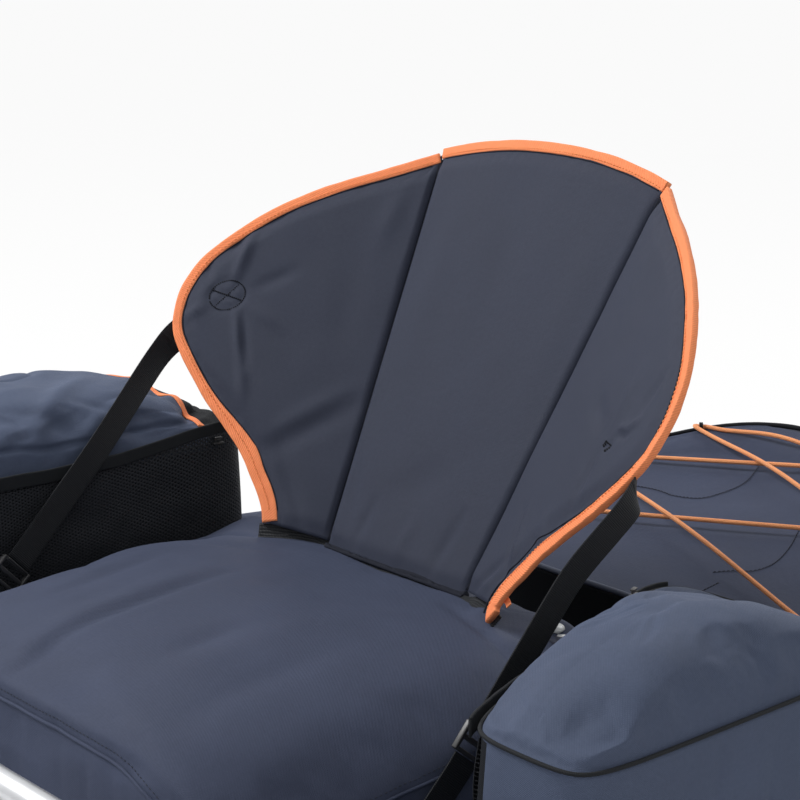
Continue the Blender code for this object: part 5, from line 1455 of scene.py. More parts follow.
def pocket_plan(u, v, side, shrink=0.0):
    middle = (POCKET_FRONT + POCKET_BACK[side]) / 2.0
    half = (POCKET_BACK[side] - POCKET_FRONT) / 2.0 - shrink
    y = middle + half * v * np.sqrt(1.0 - 0.10 * u ** 4)
    inner = POCKET_INNER[side] - POCKET_SPLAY[side] * y
    width = (POCKET_OUTER - inner) / 2.0 - shrink
    x = (inner + POCKET_OUTER) / 2.0 + width * u * np.sqrt(1.0 - 0.10 * v ** 8)
    return x, HINGE[1] + y


def rounded_outline(side, shrink, steps=220):
    """The pocket's plan outline with rounded corners, from the inner front corner round."""
    t = np.linspace(-1.0, 1.0, 60)
    one = np.ones_like(t)
    square = np.vstack([np.stack([-one, t], 1), np.stack([t, one], 1), np.stack([one, -t], 1),
                        np.stack([-t, -one], 1)])
    x, y = pocket_plan(square[:, 0], square[:, 1], side, shrink)
    line = np.stack([x, y], 1)
    for _ in range(60):
        line = 0.5 * line + 0.25 * (np.roll(line, 1, 0) + np.roll(line, -1, 0))
    closed = np.vstack([line, line[:1]])
    return evenly(closed, steps + 1)[:-1]


def pocket_body(label, side):
    """The soft box on the pontoon: bulging walls, sagging folds and a floor."""
    outer = rounded_outline(side, 0.0)
    count = len(outer)
    middle = outer.mean(0)
    outward = unit(outer - middle)
    rear = smoothstep((outer[:, 1] - HINGE[1] - POCKET_BACK[side] + 0.07) / 0.06)
    rear *= outer[:, 0] < POCKET_INNER[side] + 0.10
    run = run_length(outer)
    rows = []
    for w in np.linspace(0.0, 1.0, 30):
        belly = math.sin(math.pi * w ** 0.8)
        corner = 0.0030 * smoothstep(w / 0.08) * smoothstep((1.0 - w) / 0.08)
        push = 0.0035 * belly * (1.0 - rear) + corner * rear - 0.004 * (w < 0.02)
        line = outer + outward * push[:, None]
        floor = tube_top(line[:, 0], line[:, 1]) + POCKET_LIFT + 0.001
        z = floor + (RIM_Z - floor) * w
        spots = np.stack([line[:, 0], line[:, 1], z * 0.45], 1)
        wrinkle = 0.0026 * ridges(spots, 0.045, 71 + side) + 0.0016 * clouds(spots, 0.06, 73 + side)
        pleat = 0.0006 * rear * (0.5 + 0.5 * np.sin(run / 0.0042 + 1.6 * w))
        line = line - outward * ((wrinkle * (1.0 - 0.9 * rear) + pleat) * belly)[:, None]
        line[:, 1] -= 0.0060 * w * w * rear * (side < 0)
        rows.append(np.stack([side * line[:, 0], line[:, 1], z], 1))
    inner = rounded_outline(side, 0.006)
    for w in np.linspace(1.0, 0.0, 12):
        floor = tube_top(inner[:, 0], inner[:, 1]) + POCKET_LIFT + 0.005
        rows.append(np.stack([side * inner[:, 0], inner[:, 1], floor + (RIM_Z - floor) * w], 1))
    for shrink in np.linspace(0.8, 0.1, 7):
        line = middle + (inner - middle) * shrink
        floor = tube_top(line[:, 0], line[:, 1]) + POCKET_LIFT + 0.005
        rows.append(np.stack([side * line[:, 0], line[:, 1], floor], 1))
    rows = np.array(rows)
    faces = grid_faces(*rows.shape[:2], ring=True).tolist()
    last = (rows.shape[0] - 1) * count
    faces.append([last + j for j in range(count)])
    obj = piece(f"pocket_shell_{label}", rows.reshape(-1, 3), faces, [POCKET, BLACK], "hull",
                stands_for=[f"pocket_body_{label}"], slot="grey_nylon")
    for face in obj.data.polygons:
        x, y, z = face.center
        line_x = POCKET_INNER[side] - POCKET_SPLAY[side] * (y - HINGE[1])
        facing_in = face.normal.x * side < -0.3 and abs(x) < line_x + 0.03
        rear_end = y > HINGE[1] + POCKET_BACK[side] - 0.05 and abs(x) < line_x + 0.06
        if (facing_in or rear_end) and z < RIM_Z - 0.003:
            face.material_index = 1


def lid_dome(u, v, side):
    across = np.sqrt(np.clip(1.0 - np.abs(u) ** 3.0, 0.0, 1.0))
    if side > 0:
        across = np.where(u < 0.0, 1.0 - u * u, across)
    front = across * np.clip(1.0 - np.abs(v) ** 3.5, 0.0, 1.0) ** 1.5
    middle, slope = LID_TAPER[side]
    full = 2.7 + 0.7 * u if side > 0 else 2.5
    rear = across * np.clip(1.0 - np.abs(v) ** full, 0.0, 1.0) ** (middle + slope * u)
    return np.where(v < 0.0, front, rear)


LID_MARKS = {
    1: [(0.418, -0.200, 0.423, -0.130, 0.0095, -0.0034), (0.449, -0.249, 0.430, -0.188, 0.0100, -0.0028),
        (0.437, -0.230, 0.450, -0.184, 0.0100, 0.0022), (0.400, -0.170, 0.405, -0.110, 0.0070, 0.0030),
        (0.531, -0.148, 0.540, -0.158, 0.014, -0.0040), (0.440, -0.070, 0.480, -0.110, 0.012, -0.0024),
        (0.430, -0.290, 0.470, -0.250, 0.012, -0.0026)],
    -1: [(0.315, -0.150, 0.390, -0.235, 0.0085, -0.0050), (0.310, -0.090, 0.360, -0.150, 0.0075, -0.0042),
         (0.350, -0.060, 0.410, -0.020, 0.0080, -0.0040), (0.420, -0.150, 0.500, -0.070, 0.018, -0.0036),
         (0.400, -0.300, 0.350, -0.200, 0.010, -0.0045), (0.330, -0.040, 0.360, 0.000, 0.0060, -0.0030),
         (0.340, -0.220, 0.430, -0.100, 0.012, 0.0046), (0.325, -0.200, 0.345, -0.110, 0.0075, 0.0036),
         (0.380, -0.310, 0.470, -0.260, 0.014, 0.0030), (0.390, -0.090, 0.460, 0.000, 0.014, 0.0036),
         (0.460, -0.300, 0.480, -0.190, 0.045, -0.0065), (0.332, -0.020, 0.360, 0.010, 0.010, 0.0040)],
}


def lid_surface(u, v, side, edge=1.0):
    """The lid's upper face at places in its plan; edge is 0 at its rim and 1 inside."""
    x, y = pocket_plan(u, v, side)
    z = RIM_Z + 0.0008 + edge * (LID_WALL + (LID_CROWN - LID_WALL) * lid_dome(u, v, side))
    return np.stack([side * x, y, z], -1)


def pocket_lid(label, side):
    """The padded zip lid, wrinkled where its dome runs down to the zip."""
    t = np.linspace(-1.0, 1.0, 49)[:-1]
    one = np.ones(48)
    rim = np.vstack([np.stack([-one, t], 1), np.stack([t, one], 1), np.stack([one, -t], 1),
                     np.stack([-t, -one], 1)])
    for _ in range(40):
        rim = 0.5 * rim + 0.25 * (np.roll(rim, 1, 0) + np.roll(rim, -1, 0))
    shares = np.sin(np.linspace(1.0, 0.02, 44) * math.pi / 2.0)
    rows = [lid_surface(rim[:, 0] * k, rim[:, 1] * k, side,
                        float(smoothstep((1.0 - k) / 0.05))) for k in shares]
    points = np.vstack([np.array(rows).reshape(-1, 3), lid_surface(np.zeros(1), np.zeros(1), side)])
    faces = grid_faces(44, 192, ring=True).tolist()
    faces += [[43 * 192 + j, 43 * 192 + (j + 1) % 192, 44 * 192] for j in range(192)]
    obj = piece(f"lid_{label}", points, faces, [POCKET, BLACK], stands_for=[f"pocket_lid_{label}"],
                slot="grey_nylon")
    if sum(p.normal.z for p in obj.data.polygons) < 0:
        obj.data.flip_normals()
    held = np.concatenate([np.repeat(1.0 - smoothstep((1.0 - shares) / 0.04), 192), [0.0]])
    before = vertex_array(obj)
    relaxed(obj, pressure=0.9, grow=0.014, cap=0.0032, pinned=held, stiffness=8.0)
    moved = vertex_array(obj) - before
    middle = np.append(np.repeat(smoothstep((0.18 - shares) / 0.10), 192), 1.0)[:, None]
    ring = np.append(np.repeat((shares > 0.16) & (shares < 0.24), 192), False)
    set_vertices(obj, before + moved * (1.0 - middle) + moved[ring].mean(0) * middle)
    subdivided(obj)
    points, normals = vertex_array(obj), vertex_normals(obj)
    free = smoothstep((points[:, 2] - RIM_Z - 0.006) / 0.02)
    x = points[:, 0] * side
    rise = folds(x, points[:, 1], LID_MARKS[side])
    rise += 0.0026 * clouds(points, 0.075, 81 + side, 3)
    rise -= (0.0004 if side > 0 else 0.0030) * ridges(points * (1.0, 0.55, 1.0), 0.050, 83 + side)
    points += normals * (rise * free)[:, None]
    inner = x < (POCKET_INNER[side] - POCKET_SPLAY[side] * (points[:, 1] - HINGE[1]) + POCKET_OUTER) / 2.0
    seam_z = RIM_Z + 0.024 + 0.003 * clouds(points * (0.0, 1.0, 0.0), 0.05, 87)
    seam = np.exp(-((points[:, 2] - seam_z) / 0.0026) ** 2)
    points -= normals * ((0.0040 if side < 0 else 0.0008) * seam * inner)[:, None]
    set_vertices(obj, points)
    box_uv(obj)
    if side < 0:
        middle, half = (POCKET_FRONT + POCKET_BACK[side]) / 2.0, (POCKET_BACK[side] - POCKET_FRONT) / 2.0
        for face in obj.data.polygons:
            x, y, _ = face.center
            inner = POCKET_INNER[side] - POCKET_SPLAY[side] * (y - HINGE[1])
            u = np.clip(2.0 * (x * side - inner) / (POCKET_OUTER - inner) - 1.0, -1.0, 1.0)
            if (y - HINGE[1] - middle) / half > PIPING_V and u < 0.2:
                face.material_index = 1
    padding = obj.modifiers.new("padding", "SOLIDIFY")
    padding.thickness = 0.0035
    padding.offset = -1.0
    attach(obj, f"lid_{label}")
    lid_trim(label, side, obj)


def lid_trim(label, side, lid):
    """The zip coil along the rim, and the orange tape over the rear of the dome."""
    outline = rounded_outline(side, -0.0012, 320)
    ring = np.stack([side * outline[:, 0], outline[:, 1], np.full(len(outline), RIM_Z + 0.0004)], 1)
    sweep(f"zip_coil_{label}", ring, round_section(0.0017, 8), ELASTIC, f"lid_{label}", closed=True,
          slot="black_fabric")
    tree = BVHTree.FromObject(lid, bpy.context.evaluated_depsgraph_get())
    line = lid_surface(np.linspace(-PIPING_REACH, PIPING_REACH, 110), np.full(110, PIPING_V), side)
    path, ups = [], []
    for place in line:
        hit, normal, _, _ = tree.ray_cast(Vector((place[0], place[1], 0.7)), Vector((0.0, 0.0, -1.0)), 0.4)
        if hit is not None and hit.z > RIM_Z + 0.001:
            path.append(hit + normal * 0.0009)
            ups.append(normal)
    path, ups = eased(np.array(path), 6), unit(eased(np.array(ups), 9))
    sweep(f"orange_piping_{label}", path, flat_section(0.0086, 0.0020, 6), TAPE, f"lid_{label}", up=ups,
          stands_for=[f"lid_piping_{label}"], slot="orange_tape")


HEM_WRAP = {1: 0.012, -1: 0.034}


def hem_rise(side, t):
    """How far the far pocket's hem is pulled up along its run; the near one lies level."""
    if side > 0:
        return 0.0010 * smoothstep(t)
    return 0.0060 * smoothstep((t - 0.05) / 0.5) + 0.0200 * smoothstep((t - 0.40) / 0.45)


def inner_run(side, offset, front, steps):
    """The line along a pocket's inner side and round its rear corner, at an offset from the plan."""
    line = rounded_outline(side, -offset, 400)
    past = np.arange(400)
    reach = HEM_WRAP[side]
    corner = line[:, 0] < POCKET_INNER[side] - POCKET_SPLAY[side] * POCKET_BACK[side] + reach
    keep = (line[:, 1] > HINGE[1]
            + front) & ((line[:, 1] < HINGE[1] + POCKET_BACK[side] - 0.06) & (past < 200) | corner)
    keep &= past < 260
    return evenly(line[keep], steps)


def pocket_front(label, side):
    """The net front, carried round the rear corner, with its elastic hem."""
    top, low = RIM_Z - 0.0165, RIM_Z - 0.0173 - 0.098
    line = inner_run(side, 0.0032, POCKET_FRONT + 0.02, 500)
    length = run_length(line)[-1]
    pitch = 0.0033
    cols, rows = int(length / pitch), int((top - low) / pitch)
    corners = np.array([(0.5, 0.5), (-0.5, 0.5), (-0.5, 0.0), (-0.5, -0.5), (0.5, -0.5), (0.5, 0.0)])
    turn = np.arctan2(corners[:, 1], corners[:, 0])
    cell = np.vstack([corners, np.stack([np.cos(turn), np.sin(turn)], 1) * 0.30])
    quads = [[k, (k + 1) % 6, 6 + (k + 1) % 6, 6 + k] for k in range(6)]
    flat, faces = [], []
    for i in range(cols):
        for j in range(rows):
            start = len(flat) * 12
            flat.append((cell + (i + 0.5, j + 0.5 * (i % 2) + 0.25)) * pitch)
            faces += [[start + v for v in quad] for quad in quads]
    flat, place = np.unique(np.round(np.vstack(flat), 7), axis=0, return_inverse=True)
    faces = np.ravel(place)[np.array(faces)].tolist()
    along = run_length(line)
    x, y = (np.interp(flat[:, 0], along, line[:, k]) for k in (0, 1))
    z = low + flat[:, 1]
    way = unit(np.gradient(line, axis=0))
    nx, ny = (np.interp(flat[:, 0], along, part) for part in (-way[:, 1], way[:, 0]))
    t = np.clip((z - low) / (top - low), 0.0, 1.0)
    z = z + t * (hem_rise(side, flat[:, 0] / length) + 0.006)
    spots = np.stack([flat[:, 0], z], 1)
    corner = smoothstep((y - HINGE[1] - POCKET_BACK[side] + 0.07) / 0.06)
    bulge = np.sin(math.pi * t) * (0.0030 + 0.0026 * clouds(spots, 0.05, 95, 2)) * (1.0 - corner)
    if side < 0:
        y = y - 0.0060 * t * t * corner
    points = np.stack([side * (x + nx * bulge), y + ny * bulge, z], 1)
    net = piece(f"net_{label}", points, faces, NET, "hull", uv=flat, stands_for=[f"pocket_mesh_{label}"],
                slot="black_fabric")
    thick = net.modifiers.new("yarn", "SOLIDIFY")
    thick.thickness = 0.0006
    line = inner_run(side, 0.0092, POCKET_FRONT + 0.01, 190)
    t = np.linspace(0.0, 1.0, 190)
    spots = np.stack([t * 0.33, t * 0.0, t * 0.0], 1)
    z = RIM_Z - 0.0045 + hem_rise(side, t) + 0.0014 * clouds(spots, 0.035, 97, 2)
    path = np.stack([side * line[:, 0], line[:, 1], z], 1)
    section = np.repeat(flat_section(0.0150, 0.0026)[None], 190, 0)
    section[..., 1] *= (1.0 + 0.22 * clouds(spots, 0.008, 98, 2))[:, None]
    section[..., 0] *= (1.05 - 0.25 * t)[:, None]
    way = unit(np.gradient(line, axis=0))
    up = np.stack([-side * way[:, 1], way[:, 0], np.zeros(190)], 1)
    sweep(f"elastic_hem_{label}", path, section, ELASTIC, "hull", up=up, stands_for=[f"pocket_hem_{label}"],
          slot="black_fabric")


def slider(label, side):
    """The zip slider: a bridged body."""
    low, high = (np.array(v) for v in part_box(f"zip_slider_{label}"))
    at = (low + high) / 2.0
    lean = side * math.atan(POCKET_SPLAY[side])
    turn = turned_by("Z", lean)
    axes = turn.T
    parts = [
        box_part(at + (0, 0, -0.0025), axes, (0.0050, 0.0120, 0.0030), 0.0008),
        box_part(at + (0, 0, 0.0012), axes, (0.0022, 0.0075, 0.0024), 0.0007),
        box_part(at + (0, 0, 0.0034), axes, (0.0040, 0.0085, 0.0018), 0.0007),
    ]
    obj = joined(f"slider_body_{label}", parts, PLASTIC, f"slider_{label}",
                 stands_for=[f"zip_slider_{label}"],
                 slot="black_plastic")
    obj.data.set_sharp_from_angle(angle=math.radians(35.0))


def pockets():
    for label, side in SIDES:
        pocket_body(label, side)
        pocket_lid(label, side)
        pocket_front(label, side)
        slider(label, side)


# Deck

def deck_height(x, y):
    top = tube_top(x, y)
    return np.maximum(crown_z(y), top + 0.002) + DECK_WALL + LIE


DECK_ARCS = (
    [(-0.125, 0.405), (-0.0696, 0.4139), (-0.039, 0.4128), (-0.0104, 0.4217), (0.0031, 0.4429),
     (0.0098, 0.4741),
     (-0.0022, 0.5147)],
    [(0.120, 0.292), (0.1355, 0.3068), (0.1521, 0.3182), (0.1582, 0.3425), (0.1492, 0.378), (0.1300, 0.4200)],
    [(0.080, 0.215), (0.1100, 0.206), (0.1342, 0.207), (0.1431, 0.225), (0.1417, 0.2456), (0.1416, 0.2793)],
    [(0.1431, 0.225), (0.1600, 0.212), (0.1952, 0.205)],
)


def deck():
    """The rear deck: a taut sheet with soft sag, sewn arcs, hem, edge binding, loops and the laced cord."""
    ys = np.linspace(DECK_FRONT_Y, DECK_BACK_Y, 90)
    columns = np.linspace(-1.0, 1.0, 121)
    rows = []
    for y in ys:
        half = inner_reach(y, EDGE_RADIUS + 0.0015)
        x = half * columns
        z = deck_height(x, np.full_like(x, y))
        free = smoothstep((half - np.abs(x) - 0.02) / 0.10)
        z = z - 0.0020 * free * (0.5 + 0.5 * clouds(np.stack([x, np.full_like(x, y)], 1), 0.09, 101, 2))
        z = z - 0.0012 * np.exp(-((half - np.abs(x) - 0.010) / 0.007) ** 2) * (0.5 + 0.5 * np.sin(y / 0.0032))
        rows.append(np.stack([x, np.full_like(x, y), z], 1))
    rows = np.array(rows)
    sheet = cloth_shell("deck_sheet", rows, DECK_WALL, NYLON, "hull", stands_for=["rear_deck"],
                        slot="grey_nylon")
    x = np.linspace(-1.0, 1.0, 160) * (float(np.interp(DECK_FRONT_Y, STATION_POINTS[:, 1],
                                                       STATION_POINTS[:, 0])) - 0.006)
    hem_y = DECK_FRONT_Y - EDGE_RADIUS - 0.0003
    z = deck_height(np.zeros(1), np.array([hem_y]))[0] + EDGE_RADIUS - DECK_WALL
    path = np.stack([x, np.full_like(x, hem_y), np.full_like(x, z)], 1)
    path[:, 2] += 0.0004 * clouds(path, 0.05, 104)
    # The hem roll's pale colour is a painted highlight along its top
    sweep("deck_hem_roll", path, round_section(EDGE_RADIUS, 12), HEM, "hull", stands_for=["deck_hem"],
          slot="dark_nylon")
    parts = []
    for knots in DECK_ARCS:
        line = curve_through(knots, 120)
        z = deck_height(line[:, 0], line[:, 1])
        path = np.concatenate([line, z[:, None] - 0.0002], 1)
        parts += stitch_parts(path, np.tile((0.0, 0.0, 1.0), (len(path), 1)), step=0.0046, share=0.85,
                              radius=0.0006)
    joined("deck_stitches", parts, THREAD, "hull", slot="grey_nylon")
    for label, side in SIDES:
        deck_edge(label, side)
    lacing()


def loop_frame(y, side):
    point, slope = path_point(path_at_y(y))
    foot = np.array((side * point[0], y, float(crown_z(y)) + EDGE_RADIUS + LIE))
    return foot, np.array((side * slope[1], -slope[0], 0.0)), np.array((side * slope[0], slope[1], 0.0))


def loop_centre(y, side):
    foot, outboard, _ = loop_frame(y, side)
    return foot - outboard * CORD_INBOARD + np.array((0.0, 0.0, CORD_LIFT))


def tube_part(path, radius, sides=8):
    _, sideways, ups = frames_along(np.asarray(path, float))
    section = round_section(radius, sides)
    rings = path[:, None] + sideways[:, None] * section[None, :, :1] + ups[:, None] * section[None, :, 1:]
    rows, cols = rings.shape[:2]
    faces = grid_faces(rows, cols, ring=True).tolist()
    faces += [list(range(cols))[::-1], [(rows - 1) * cols + j for j in range(cols)]]
    return rings.reshape(-1, 3), faces


def deck_edge(label, side):
    """Black edge binding over the tube's top line and its three lacing loops."""
    at = np.linspace(path_at_y(HINGE[1] + 0.231), len(HULL_PATH) - 1.0, 200)
    line = np.array([path_point(v)[0] for v in at])
    path = np.stack([side * np.maximum(line[:, 0], 0.004), line[:, 1],
                     crown_z(line[:, 1]) + EDGE_RADIUS + LIE], 1)
    section = np.repeat(round_section(EDGE_RADIUS, 12, 0.92)[None], 200, 0)
    spots = np.stack([run_length(path), at * 0, at * 0], 1)
    section *= (1.0 + 0.05 * clouds(spots, 0.012, 111, 2))[:, None, None]
    sweep(f"edge_binding_{label}", path, section, BLACK, "hull", stands_for=[f"deck_binding_{label}"],
          slot="black_fabric")
    parts = []
    for y in LOOP_YS:
        foot, outboard, way = loop_frame(y, side)
        centre = loop_centre(y, side)
        reach = BUNGEE_RADIUS + 0.0013 + 0.0005
        turn = np.radians(np.linspace(35.0, 180.0, 16))[:, None]
        bow = centre + (outboard * np.cos(turn) + np.array((0.0, 0.0, 1.0)) * np.sin(turn)) * reach
        bow = np.vstack([foot[None], bow, bow[-1] - (0.0, 0.0, 0.004)])
        bow = curve_through(bow, 26)
        for shift in (-0.0011, 0.0011):
            parts.append(tube_part(bow + way * shift, 0.0011, 8))
    joined(f"lacing_loops_{label}", parts, BLACK, "hull", slot="black_fabric")


def lacing():
    order = [(0, -1, 1), (1, 1, 1), (2, -1, 1), (2, 1, -1), (1, -1, -1), (0, 1, -1)]
    passes = []
    for index, side, way in order:
        centre = loop_centre(LOOP_YS[index], side)
        through = loop_frame(LOOP_YS[index], side)[2] * way * CORD_PASS
        passes.append((centre - through, centre, centre + through))
    points = [*passes[0][:2]]
    for start, end, lift in zip(passes, passes[1:], CORD_LIFTS):
        for i in range(9):
            t = i / 9.0
            points.append(start[2] * (1.0 - t) + end[0] * t
                          + np.array((0.0, 0.0, lift * math.sin(math.pi * t) ** 2)))
        points += [end[0], end[1]]
    points.append(passes[-1][2])
    path = curve_through(np.array(points), 900)
    sweep("bungee", path, round_section(BUNGEE_RADIUS, 14), CORD, "hull", stands_for=["bungee_cord"],
          slot="orange_cord")
    parts = [tube_part(np.array([path[k], path[k + 4], path[k + 9]]), 0.0033, 12) for k in (0, 890)]
    joined("cord_ends", parts, PLASTIC, "hull", slot="black_plastic")


def walls():
    """The black sling under the seat and the wall behind it."""
    low, high = (np.array(v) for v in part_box("seat_sling"))
    ys = np.linspace(low[1], high[1], 70)
    rows = []
    for y in ys:
        half = sling_half(y, (low[2] + high[2]) / 2.0)
        x = half * np.linspace(-1.0, 1.0, 71)
        z = np.full_like(x, high[2]) - 0.0003 * (1.0 + clouds(np.stack([x, np.full_like(x, y)], 1), 0.05,
                                                              121, 2))
        rows.append(np.stack([x, np.full_like(x, y), z], 1))
    rows = np.array(rows)
    sheet = cloth_shell("sling_sheet", rows, 0.0012, BLACK, "hull", stands_for=["seat_sling"],
                        slot="black_fabric")
    low, high = (np.array(v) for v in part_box("rear_wall"))
    zs = np.append(np.linspace(low[2], high[2], 40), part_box("deck_hem")[0][2] - 0.0003)
    rows = []
    for z in zs:
        half = sling_half((low[1] + high[1]) / 2.0, min(z, high[2])) - 0.0015
        x = half * np.linspace(-1.0, 1.0, 91)
        y = np.full_like(x, high[1] - 0.0002) - 0.0003 * (1.0 + clouds(np.stack([x, np.full_like(x, z)],
                                                                                1), 0.03, 123, 2))
        rows.append(np.stack([x, y, np.full_like(x, z)], 1))
    rows = np.array(rows)
    wall = shell("wall_sheet", rows, rows - (0.0, 0.0010, 0.0), BLACK, "hull", stands_for=["rear_wall"],
                 slot="black_fabric")


def sling_half(y, z):
    """Half the free width between the pontoons at a height."""
    away = np.abs(STATION_POINTS[:, 1] - y) < 0.16
    best = 1.0
    for x0, y0 in STATION_POINTS[away][::3]:
        radius = tube_radius(y0)
        centre = float(crown_z(y0)) - radius if y0 > HULL_PATH[0][1] + NOSE_LENGTH else TUBE_CENTRE
        room = radius ** 2 - (z - centre) ** 2 - (y - y0) ** 2
        if room > 0:
            best = min(best, x0 - math.sqrt(room))
    return best - 0.001


# Fittings

def fittings():
    front_bar()
    for label, side in SIDES:
        carry_handle(label, side)
    towing_ring()


def dress(name, finish):
    """Gives a CAD node its finish."""
    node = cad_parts[name]
    node.data.materials.clear()
    node.data.materials.append(finish)


def front_bar():
    """The aluminium spreader bar with plugged ends, on its two blocks and their sewn patches."""
    low, high = (np.array(v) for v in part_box("front_bar"))
    middle, radius = (low + high) / 2.0, (high[1] - low[1]) / 2.0
    stops = np.concatenate([[0.0, 0.0008, 0.0016], np.linspace(0.01, 0.99, 30), [0.9984, 0.9992, 1.0]])
    path = middle + (stops[:, None] - 0.5) * ((high[0] - low[0]) * np.eye(3)[0])
    section = np.repeat(round_section(radius, 36)[None], len(stops), 0)
    section[[0, -1]] *= 0.93
    section[[1, -2]] *= 0.985
    bar = sweep("spreader_bar", path, section, ALUMINIUM, "bar", stands_for=["front_bar"], slot="aluminium")
    bar.data.set_sharp_from_angle(angle=math.radians(40.0))
    for label, side in SIDES:
        end = middle + np.array((side * (high[0] - low[0]) / 2.0, 0.0, 0.0))
        plug = [(0.0003, 0.0024), (0.0070, 0.0023), (0.0104, 0.0018), (0.0112, 0.0010), (0.0112, -0.004),
                (0.0003, -0.004)]
        turned_piece(f"bar_plug_{label}", plug, end, (side, 0.0, 0.0), PLASTIC, "bar", slot="black_plastic")
        block = "bar_pivot" if side > 0 else "bar_clip"
        dress(block, PLASTIC)
        block_low, block_high = (np.array(v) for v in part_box(block))
        patch_on_tube(f"bar_patch_{label}", side, path_at_y((block_low[1] + block_high[1]) / 2.0), 90.0,
                      0.050, 0.052)


def patch_on_tube(name, side, at, angle, wide, long_way):
    """A rounded, stitched patch of dark cloth that lies on a pontoon."""
    centre, _, radius = hull_frame(at, side)
    step = 0.01
    per = np.linalg.norm(path_point(at + step)[0] - path_point(at)[0]) / step
    grid = np.linspace(-1.0, 1.0, 25)
    a, b = np.meshgrid(grid, grid)
    shrink = 1.0 - 0.10 * (a * a) * (b * b)
    a, b = a * shrink, b * shrink
    lift = 0.0004 + 0.0009 * smoothstep((1.0 - np.maximum(np.abs(a), np.abs(b))) / 0.10)
    rows = []
    for i in range(25):
        row = []
        for j in range(25):
            turn = angle + math.degrees(a[i, j] * wide / 2.0 / radius)
            place = hull_ring(at + b[i, j] * long_way / 2.0 / per, np.array([turn]), side, float(lift[i, j]))
            row.append(place[0][0])
        rows.append(row)
    rows = np.array(rows)
    if (grid_normals(rows)[12, 12] @ (rows[12, 12] - centre)) < 0:
        rows = rows[:, ::-1]
    cloth_shell(name, rows, 0.0010, BLACK, "hull", slot="black_fabric")
    edge = np.vstack([rows[2, 2:-2], rows[2:-2, -3], rows[-3, -3:1:-1], rows[-3:1:-1, 2]])
    normal = unit(edge - centre)
    joined(f"{name}_stitches", stitch_parts(edge + normal * 0.0002, normal, step=0.0040), DARK_THREAD, "hull",
           slot="black_fabric")


def carry_handle(label, side):
    """The carry handle: webbing ends sewn to patches, and a ribbed grip between them."""
    low, high = (np.array(v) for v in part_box(f"carry_handle_{label}"))
    radius = (high[0] - low[0]) / 2.0
    x = side * abs(low[0] + high[0]) / 2.0
    y_mid, half = (low[1] + high[1]) / 2.0, (high[1] - low[1]) / 2.0 - radius * 0.76
    top, bottom = high[2] - radius * 0.65, low[2] + radius
    t = np.linspace(-1.0, 1.0, 150)
    path = np.stack([np.full(150, x), y_mid + half * t, bottom + (top - bottom) * t ** 4], 1)
    grip = smoothstep((0.62 - np.abs(t)) / 0.05)
    rib = 1.0 + 0.035 * np.sin(t * 150.0) * grip
    flat = flat_section(0.0190, 0.0030, 6)
    turn = np.arctan2(flat[:, 1] / 0.0030, flat[:, 0] / 0.0190)
    full = np.stack([np.cos(turn), np.sin(turn)], 1) * radius * 0.93
    section = flat[None] * (1.0 - grip)[:, None, None] + full[None] * (grip * rib)[:, None, None]
    up = np.tile((side, 0.0, 0.0), (150, 1))
    sweep(f"handle_strap_{label}", path, section, WEBBING, f"handle_{label}", up=up,
          stands_for=[f"carry_handle_{label}"], slot="webbing")
    for end, place in (("front", y_mid - half), ("rear", y_mid + half)):
        angle = math.degrees(math.asin((top - TUBE_CENTRE) / TUBE_RADIUS))
        patch_on_tube(f"handle_patch_{end}_{label}", side, path_at_y(place), angle, 0.034, 0.044)


def towing_ring():
    """The steel D-ring on its sewn stern patch."""
    low, high = (np.array(v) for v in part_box("stern_ring"))
    points, normals = hull_ring(len(HULL_PATH) - 1.0, np.array([54.0]), 1)
    at, normal = points[0] * (0.0, 1.0, 1.0), unit(normals[0] * (0.0, 1.0, 1.0))
    down = np.array((0.0, normal[2], -normal[1]))
    grid = np.linspace(-1.0, 1.0, 31)
    a, b = np.meshgrid(grid, grid)
    shrink = 1.0 - 0.10 * (a * a) * (b * b)
    rise = 0.0008 + 0.0012 * smoothstep((1.0 - np.maximum(np.abs(a), np.abs(b))) / 0.12)
    rows = at + (a * shrink * 0.0245)[..., None] * np.eye(3)[0] - (b * shrink * 0.0195)[..., None] * down
    rows = rows + (rise[..., None] * normal)
    cloth_shell("ring_base", rows, 0.0016, BLACK, "hull", stands_for=["ring_patch"], slot="black_fabric")
    edge = np.vstack([rows[3, 3:-3], rows[3:-3, -4], rows[-4, -4:2:-1], rows[-4:2:-1, 3]])
    normal_rows = np.tile(normal, (len(edge), 1))
    joined("ring_stitches", stitch_parts(edge + normal * 0.0001, normal_rows, step=0.0036), THREAD, "hull",
           slot="black_fabric")
    lug = at + normal * 0.0074
    turn = np.radians(np.linspace(-125.0, 125.0, 22))
    loop = np.stack([np.zeros(22), np.sin(turn), np.cos(turn)], 1)
    loop = lug + 0.0046 * (loop[:, 1:2] * down + loop[:, 2:] * normal)
    ends = [loop[0] - down * 0.010 - normal * 0.0022, loop[-1] + down * 0.010 - normal * 0.0022]
    path = curve_through(np.vstack([ends[0], loop, ends[1]]), 60)
    sweep("ring_tab", path, flat_section(0.017, 0.0012), WEBBING, "hull", up=unit(path - lug), slot="webbing")
    width = (high[0] - low[0]) / 2.0 - 0.003
    half_turn = np.linspace(0.0, math.pi, 26)
    bow = lug + np.stack([np.cos(half_turn) * width, half_turn * 0.0, half_turn * 0.0], 1)
    bow = bow + (0.008 + 0.016 * np.sin(half_turn))[:, None] * down
    bar = lug + np.linspace(-width, width, 12)[:, None] * np.eye(3)[0]
    knots = np.vstack([bar[1:-1], bow])
    ring = curve_through(knots, 140, closed=True)[:-1]
    sweep("d_ring", ring, round_section(0.003, 14), STEEL, "ring", closed=True, stands_for=["stern_ring"],
          slot="steel")


# Stage

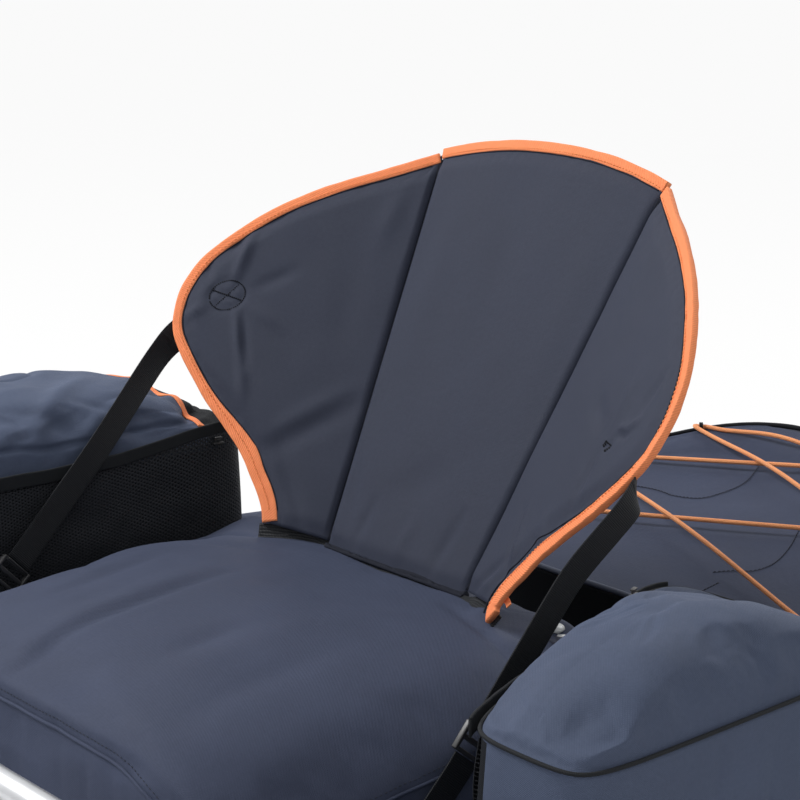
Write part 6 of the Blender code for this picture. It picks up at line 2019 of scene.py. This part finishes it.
FLOOR_GLOW = 0.92
SKY_LEVEL = 0.46
LAMPS = (
    ("key", (-2.6, -1.6, 3.4), 1.5, 150.0),
    ("fill", (2.4, -2.8, 2.0), 2.4, 16.0),
    ("rear", (-0.4, 2.8, 2.8), 2.0, 34.0),
)


def stage():
    bm = bmesh.new()
    bmesh.ops.create_circle(bm, cap_ends=True, radius=60.0, segments=64)
    data = bpy.data.meshes.new("floor")
    bm.to_mesh(data)
    bm.free()
    floor = bpy.data.objects.new("floor", data)
    bpy.context.scene.collection.objects.link(floor)
    floor.location.z = -0.0005
    made = bpy.data.materials.new("floor")
    made.use_nodes = True
    tree = made.node_tree
    tree.nodes.clear()
    out = tree.nodes.new("ShaderNodeOutputMaterial")
    path = add(tree, "LightPath")
    seen = calc(tree, "MULTIPLY", path.outputs["Is Camera Ray"], FLOOR_GLOW)
    plain = add(tree, "BsdfDiffuse", Color=(0.93, 0.93, 0.93, 1.0))
    glow = add(tree, "Emission", Color=(1.0, 1.0, 1.0, 1.0), Strength=1.0)
    mix = add(tree, "MixShader", Fac=seen)
    tree.links.new(plain.outputs[0], mix.inputs[1])
    tree.links.new(glow.outputs[0], mix.inputs[2])
    tree.links.new(mix.outputs[0], out.inputs["Surface"])
    data.materials.append(made)
    world = bpy.data.worlds.new("studio")
    bpy.context.scene.world = world
    world.use_nodes = True
    tree = world.node_tree
    base = tree.nodes["Background"]
    path = add(tree, "LightPath")
    shown = calc(tree, "MAXIMUM", path.outputs["Is Camera Ray"], path.outputs["Is Transmission Ray"])
    shown = calc(tree, "MAXIMUM", shown, path.outputs["Is Glossy Ray"])
    strength = add(tree, "MapRange", Value=shown, To_Min=SKY_LEVEL, To_Max=1.0).outputs["Result"]
    base.inputs["Color"].default_value = (1.0, 1.0, 1.0, 1.0)
    tree.links.new(strength, base.inputs["Strength"])
    for name, at, size, power in LAMPS:
        light = bpy.data.lights.new(name, "AREA")
        light.size = size
        light.energy = power
        lamp = bpy.data.objects.new(name, light)
        bpy.context.scene.collection.objects.link(lamp)
        lamp.location = at
        lamp.rotation_euler = (Vector((0.0, 0.0, 0.35)) - Vector(at)).to_track_quat("-Z", "Y").to_euler()


def camera():
    a, e = CAMERA_AZIMUTH, CAMERA_ELEVATION
    right = Vector((math.cos(a), math.sin(a), 0.0))
    back = Vector((math.sin(a) * math.cos(e), -math.cos(a) * math.cos(e), math.sin(e)))
    up = back.cross(right)
    data = bpy.data.cameras.new("camera")
    data.lens = CAMERA_LENS
    data.sensor_width = 36.0
    data.clip_end = 200.0
    eye = bpy.data.objects.new("camera", data)
    bpy.context.scene.collection.objects.link(eye)
    turn = Matrix((right, up, back)).transposed().to_4x4()
    eye.matrix_world = Matrix.Translation(CAMERA_AT) @ turn
    bpy.context.scene.camera = eye


camera()
stage()
hull()
walls()
seat()
backrest()
straps()
pockets()
deck()
fittings()

bpy.context.scene.view_settings.view_transform = "Standard"
